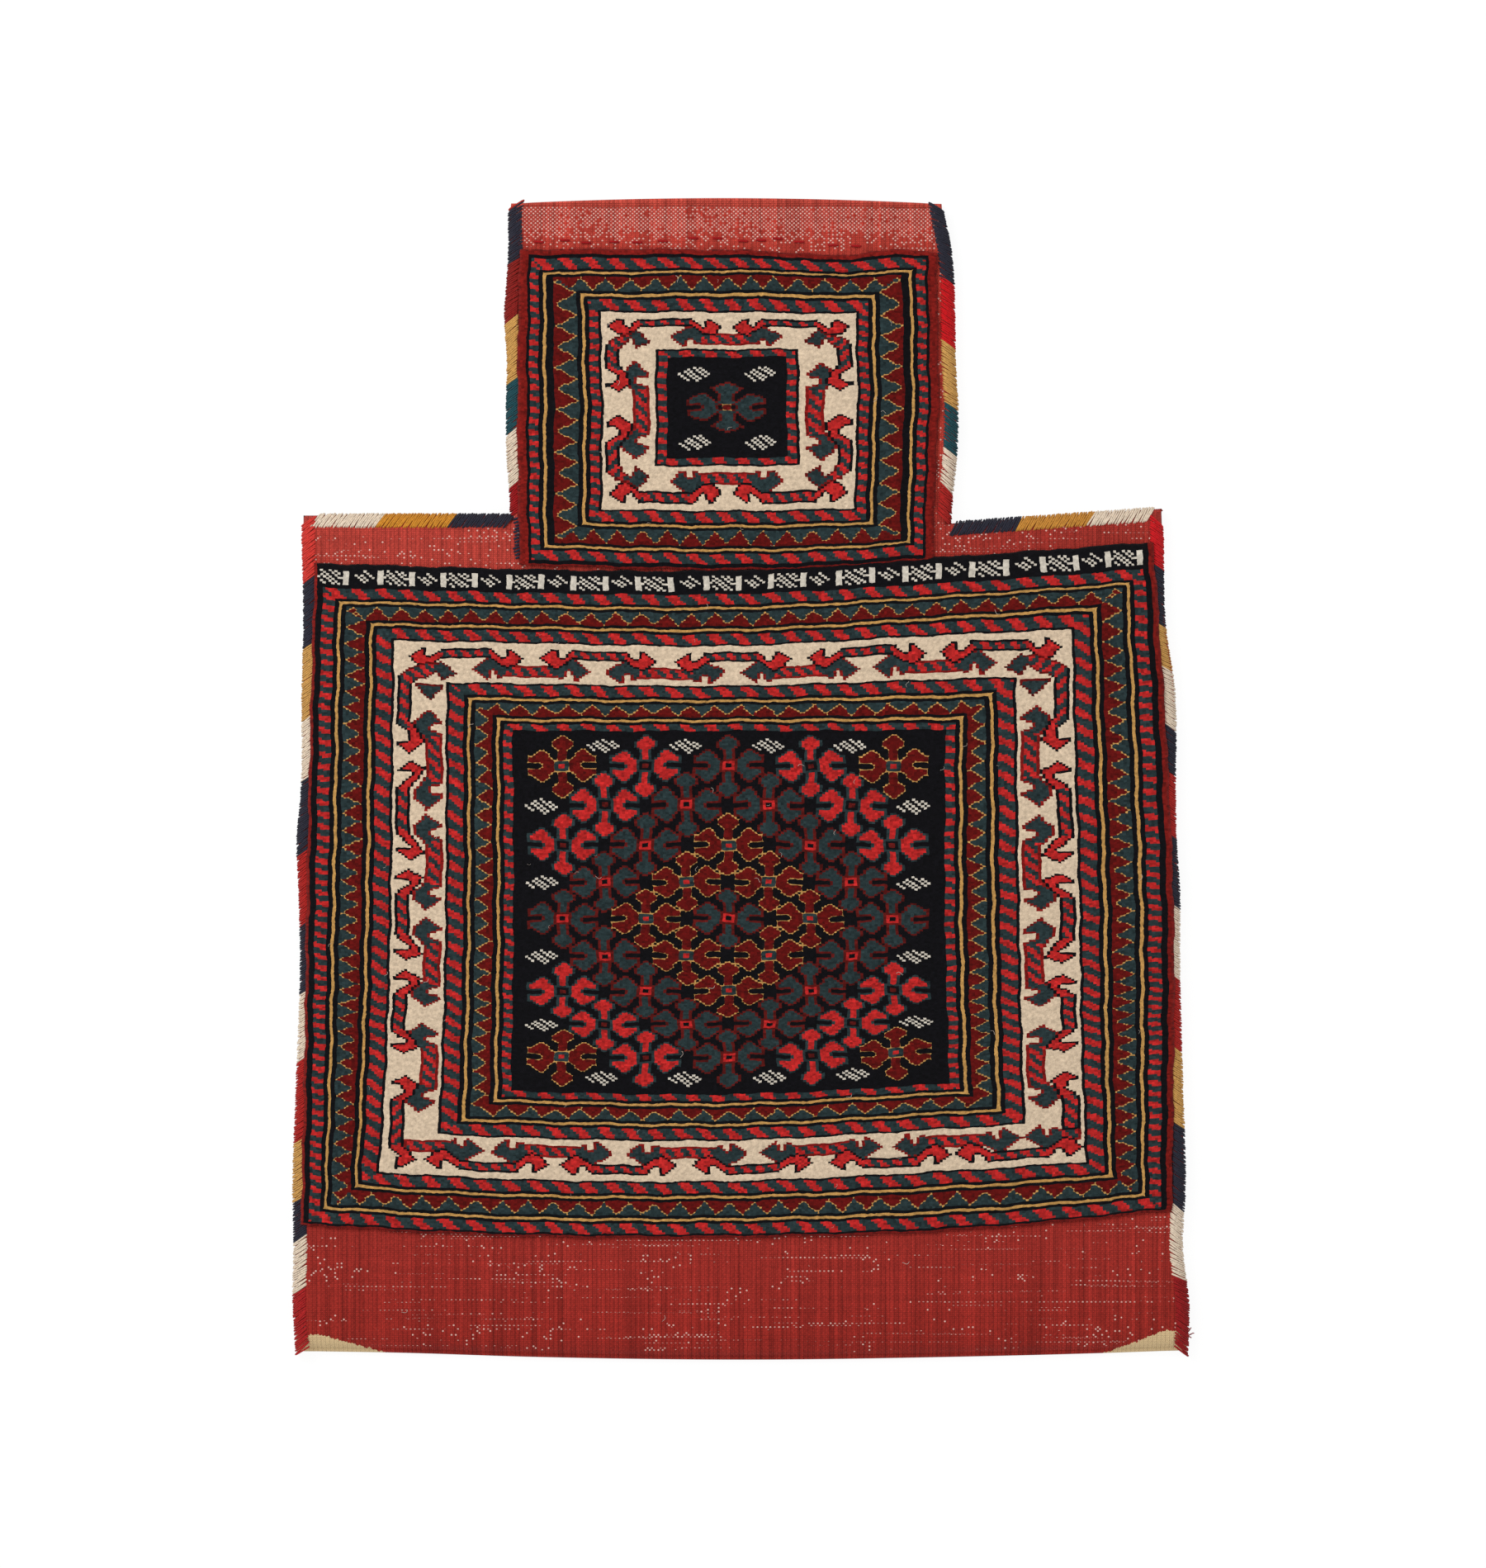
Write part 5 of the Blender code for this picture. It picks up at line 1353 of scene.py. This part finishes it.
def fibre_tree():
    """A node tree that lays loose fibres at points, each turned its own way."""
    tree = bpy.data.node_groups.new("scatter_fibres", "GeometryNodeTree")
    add_socket(tree, "Places", "NodeSocketGeometry")
    add_socket(tree, "Fibre", "NodeSocketObject")
    add_socket(tree, "Smallest", "NodeSocketFloat", default=0.5)
    add_socket(tree, "Seed", "NodeSocketInt", default=1)
    add_socket(tree, "Yarn", "NodeSocketMaterial")
    nodes, links = tree.nodes, tree.links
    given = nodes.new("NodeGroupInput")
    points = nodes.new("GeometryNodeMeshToPoints")
    turn = add_node(nodes, "FunctionNodeRandomValue", data_type="FLOAT_VECTOR", inputs={
        "Min": (0.0, 0.0, 0.0), "Max": (0.0, 0.0, 2 * math.pi)})
    size = add_node(nodes, "FunctionNodeRandomValue", data_type="FLOAT", inputs={3: 1.0})
    fibre = add_node(nodes, "GeometryNodeObjectInfo", {"As Instance": True})
    place = nodes.new("GeometryNodeInstanceOnPoints")
    to_rotation = nodes.new("FunctionNodeEulerToRotation")
    links.new(given.outputs["Places"], points.inputs["Mesh"])
    links.new(points.outputs[0], place.inputs["Points"])
    links.new(given.outputs["Fibre"], fibre.inputs["Object"])
    links.new(fibre.outputs["Geometry"], place.inputs["Instance"])
    links.new(given.outputs["Seed"], turn.inputs["Seed"])
    links.new(given.outputs["Seed"], size.inputs["Seed"])
    links.new(given.outputs["Smallest"], size.inputs[2])
    links.new(turn.outputs[0], to_rotation.inputs[0])
    links.new(to_rotation.outputs[0], place.inputs["Rotation"])
    links.new(size.outputs[1], place.inputs["Scale"])
    end_tree(tree, given, place, "Fibres")
    return tree


# The loose fibres: how many lie on the body and on the neck, between which places across and
# which heights, in pixels, and from which height down there is no pile under them
BODY_FIBRES, NECK_FIBRES = 56, 14
BODY_FIBRE_PLACES = (395, 1395), (720, 1600)
NECK_FIBRE_PLACES = (660, 1110), (330, 670)
PILE_FOOT = 1490
FIBRE_LENGTH = 0.0034
FIBRE_RADIUS = 0.00009


def add_fibres():
    """Loose pale fibres that lie about on the pile and the cloth."""
    random = np.random.default_rng(SEED + 9)
    px, py = (np.concatenate([
        random.uniform(*body, BODY_FIBRES), random.uniform(*neck, NECK_FIBRES)])
        for body, neck in zip(BODY_FIBRE_PLACES, NECK_FIBRE_PLACES))
    x, y = spot(px, py)
    height = front_height(x, y) + np.where(py < PILE_FOOT, PILE, 0.0) + CLEARANCE
    path = [
        (FIBRE_LENGTH * (t - 0.5), FIBRE_LENGTH * 0.22 * math.sin(t * 4.2), 0.00045 * math.sin(t * math.pi))
        for t in (0.0, 0.17, 0.33, 0.5, 0.67, 0.83, 1.0)]
    fibre = outward(new_mesh_object("one_fibre", *tube(path, FIBRE_RADIUS, 4)))
    lint = wool_material("lint", colour=(205, 190, 178), fibre=1900.0)
    values = {"Fibre": fibre, "Smallest": 0.35, "Seed": 3, "Yarn": lint}
    item = grown("loose_fibres", list(zip(x, y, height)), fibre_tree(), values, edges=[])
    bpy.data.objects.remove(fibre)
    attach(item, "root")
    return item


def background_rays(nodes, links):
    """A socket that is 1 where the background is seen straight, in a gloss or through clear stuff."""
    path = nodes.new("ShaderNodeLightPath")
    seen = path.outputs["Is Camera Ray"]
    for name in ("Is Glossy Ray", "Is Transmission Ray"):
        either = add_node(nodes, "ShaderNodeMath", operation="MAXIMUM")
        links.new(seen, either.inputs[0])
        links.new(path.outputs[name], either.inputs[1])
        seen = either.outputs[0]
    return seen


# The floor: how far it reaches, how pale it is, and how much of it glows white and how strongly
FLOOR_REACH = 3.0
FLOOR_PALE = 0.88
FLOOR_GLOWING = 0.88
FLOOR_GLOW = 1.04
# The lamp's place, side and power, and the light of the room
LAMP_PLACE = (-1.1, 1.0, 1.7)
LAMP_SIDE = 1.1
LAMP_POWER = 21.0
ROOM_LIGHT = 0.72
# How far the camera is above the cloth's front, how high that is, and the height of its sensor
CAMERA_DISTANCE = 3.0
CAMERA_LEVEL = 0.010
SENSOR = 24.0


def add_floor():
    """The plain pale floor, which shows white to the camera and keeps a soft shadow."""
    size = FLOOR_REACH
    floor = new_mesh_object(
        "floor", [(-size, -size, 0), (size, -size, 0), (size, size, 0), (-size, size, 0)],
        [(0, 1, 2, 3)])
    material = bpy.data.materials.new("pale_floor")
    material.use_nodes = True
    nodes, links = material.node_tree.nodes, material.node_tree.links
    shader = nodes["Principled BSDF"]
    shader.inputs["Base Color"].default_value = (FLOOR_PALE, FLOOR_PALE, FLOOR_PALE, 1)
    shader.inputs["Roughness"].default_value = 1.0
    shader.inputs["Specular IOR Level"].default_value = 0.0
    glow = add_node(nodes, "ShaderNodeEmission", {"Strength": FLOOR_GLOW})
    part = add_node(nodes, "ShaderNodeMath", operation="MULTIPLY", inputs={1: FLOOR_GLOWING})
    links.new(background_rays(nodes, links), part.inputs[0])
    mix = nodes.new("ShaderNodeMixShader")
    links.new(part.outputs[0], mix.inputs[0])
    links.new(shader.outputs[0], mix.inputs[1])
    links.new(glow.outputs[0], mix.inputs[2])
    links.new(mix.outputs[0], nodes["Material Output"].inputs["Surface"])
    floor.data.materials.append(material)


def add_light(name, place, size, power):
    """A soft square lamp that looks at the bag."""
    data = bpy.data.lights.new(name, "AREA")
    data.shape = "SQUARE"
    data.size = size
    data.energy = power
    lamp = in_scene(name, data)
    lamp.location = place
    lamp.rotation_euler = (-Vector(place)).to_track_quat("-Z", "Y").to_euler()


def set_up_picture():
    """The floor, the lamp, the world and the camera."""
    scene = bpy.context.scene
    scene.view_settings.view_transform = "Standard"
    add_floor()
    add_light("upper_left_lamp", LAMP_PLACE, LAMP_SIDE, LAMP_POWER)
    world = bpy.data.worlds.new("soft_room")
    scene.world = world
    world.use_nodes = True
    nodes, links = world.node_tree.nodes, world.node_tree.links
    room = nodes["Background"]
    room.inputs["Strength"].default_value = ROOM_LIGHT
    room.inputs["Color"].default_value = (1, 1, 1, 1)
    white = add_node(nodes, "ShaderNodeBackground", {"Color": (1, 1, 1, 1), "Strength": 1.0})
    mix = nodes.new("ShaderNodeMixShader")
    links.new(background_rays(nodes, links), mix.inputs[0])
    links.new(room.outputs[0], mix.inputs[1])
    links.new(white.outputs[0], mix.inputs[2])
    links.new(mix.outputs[0], nodes["World Output"].inputs["Surface"])
    camera_data = bpy.data.cameras.new("camera")
    camera = in_scene("camera", camera_data)
    x, y = spot(*IMAGE_CENTRE)
    camera.location = (float(x), float(y), CAMERA_DISTANCE + CAMERA_LEVEL)
    camera_data.sensor_fit = "VERTICAL"
    camera_data.sensor_height = SENSOR
    camera_data.lens = SENSOR * CAMERA_DISTANCE / (IMAGE_HEIGHT * METRES_PER_PIXEL)
    scene.camera = camera


def main():
    """Dress the bag."""
    set_up_picture()
    pile_wool = wool_material("pile_wool", attribute="knot_colour", fibre=1300.0, bump=0.75)
    body_tables = (BODY_ROWS_OF_X, BODY_COLUMNS, BODY_COLUMNS_OF_Y, BODY_ROWS)
    neck_tables = (NECK_ROWS_OF_X, NECK_COLUMNS, NECK_COLUMNS_OF_Y, NECK_ROWS)
    body_page, neck_page = body_cartoon(body_tables), neck_cartoon(neck_tables)
    body = pile_slab("body_knots", body_page, body_tables, (1, 2, 1, 0), pile_wool, SEED)
    neck = pile_slab("neck_knots", neck_page, neck_tables, (3, 3, 1, 3), pile_wool, SEED + 1)
    for item, node in ((body, "body_pile"), (neck, "neck_pile")):
        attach(item, "root")
        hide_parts(node)
    cloth = woven_strip(cloth_material())
    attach(cloth, "root")
    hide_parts("woven_cloth")
    wind_bindings()
    stitches = add_stitches()
    fibres = add_fibres()


main()
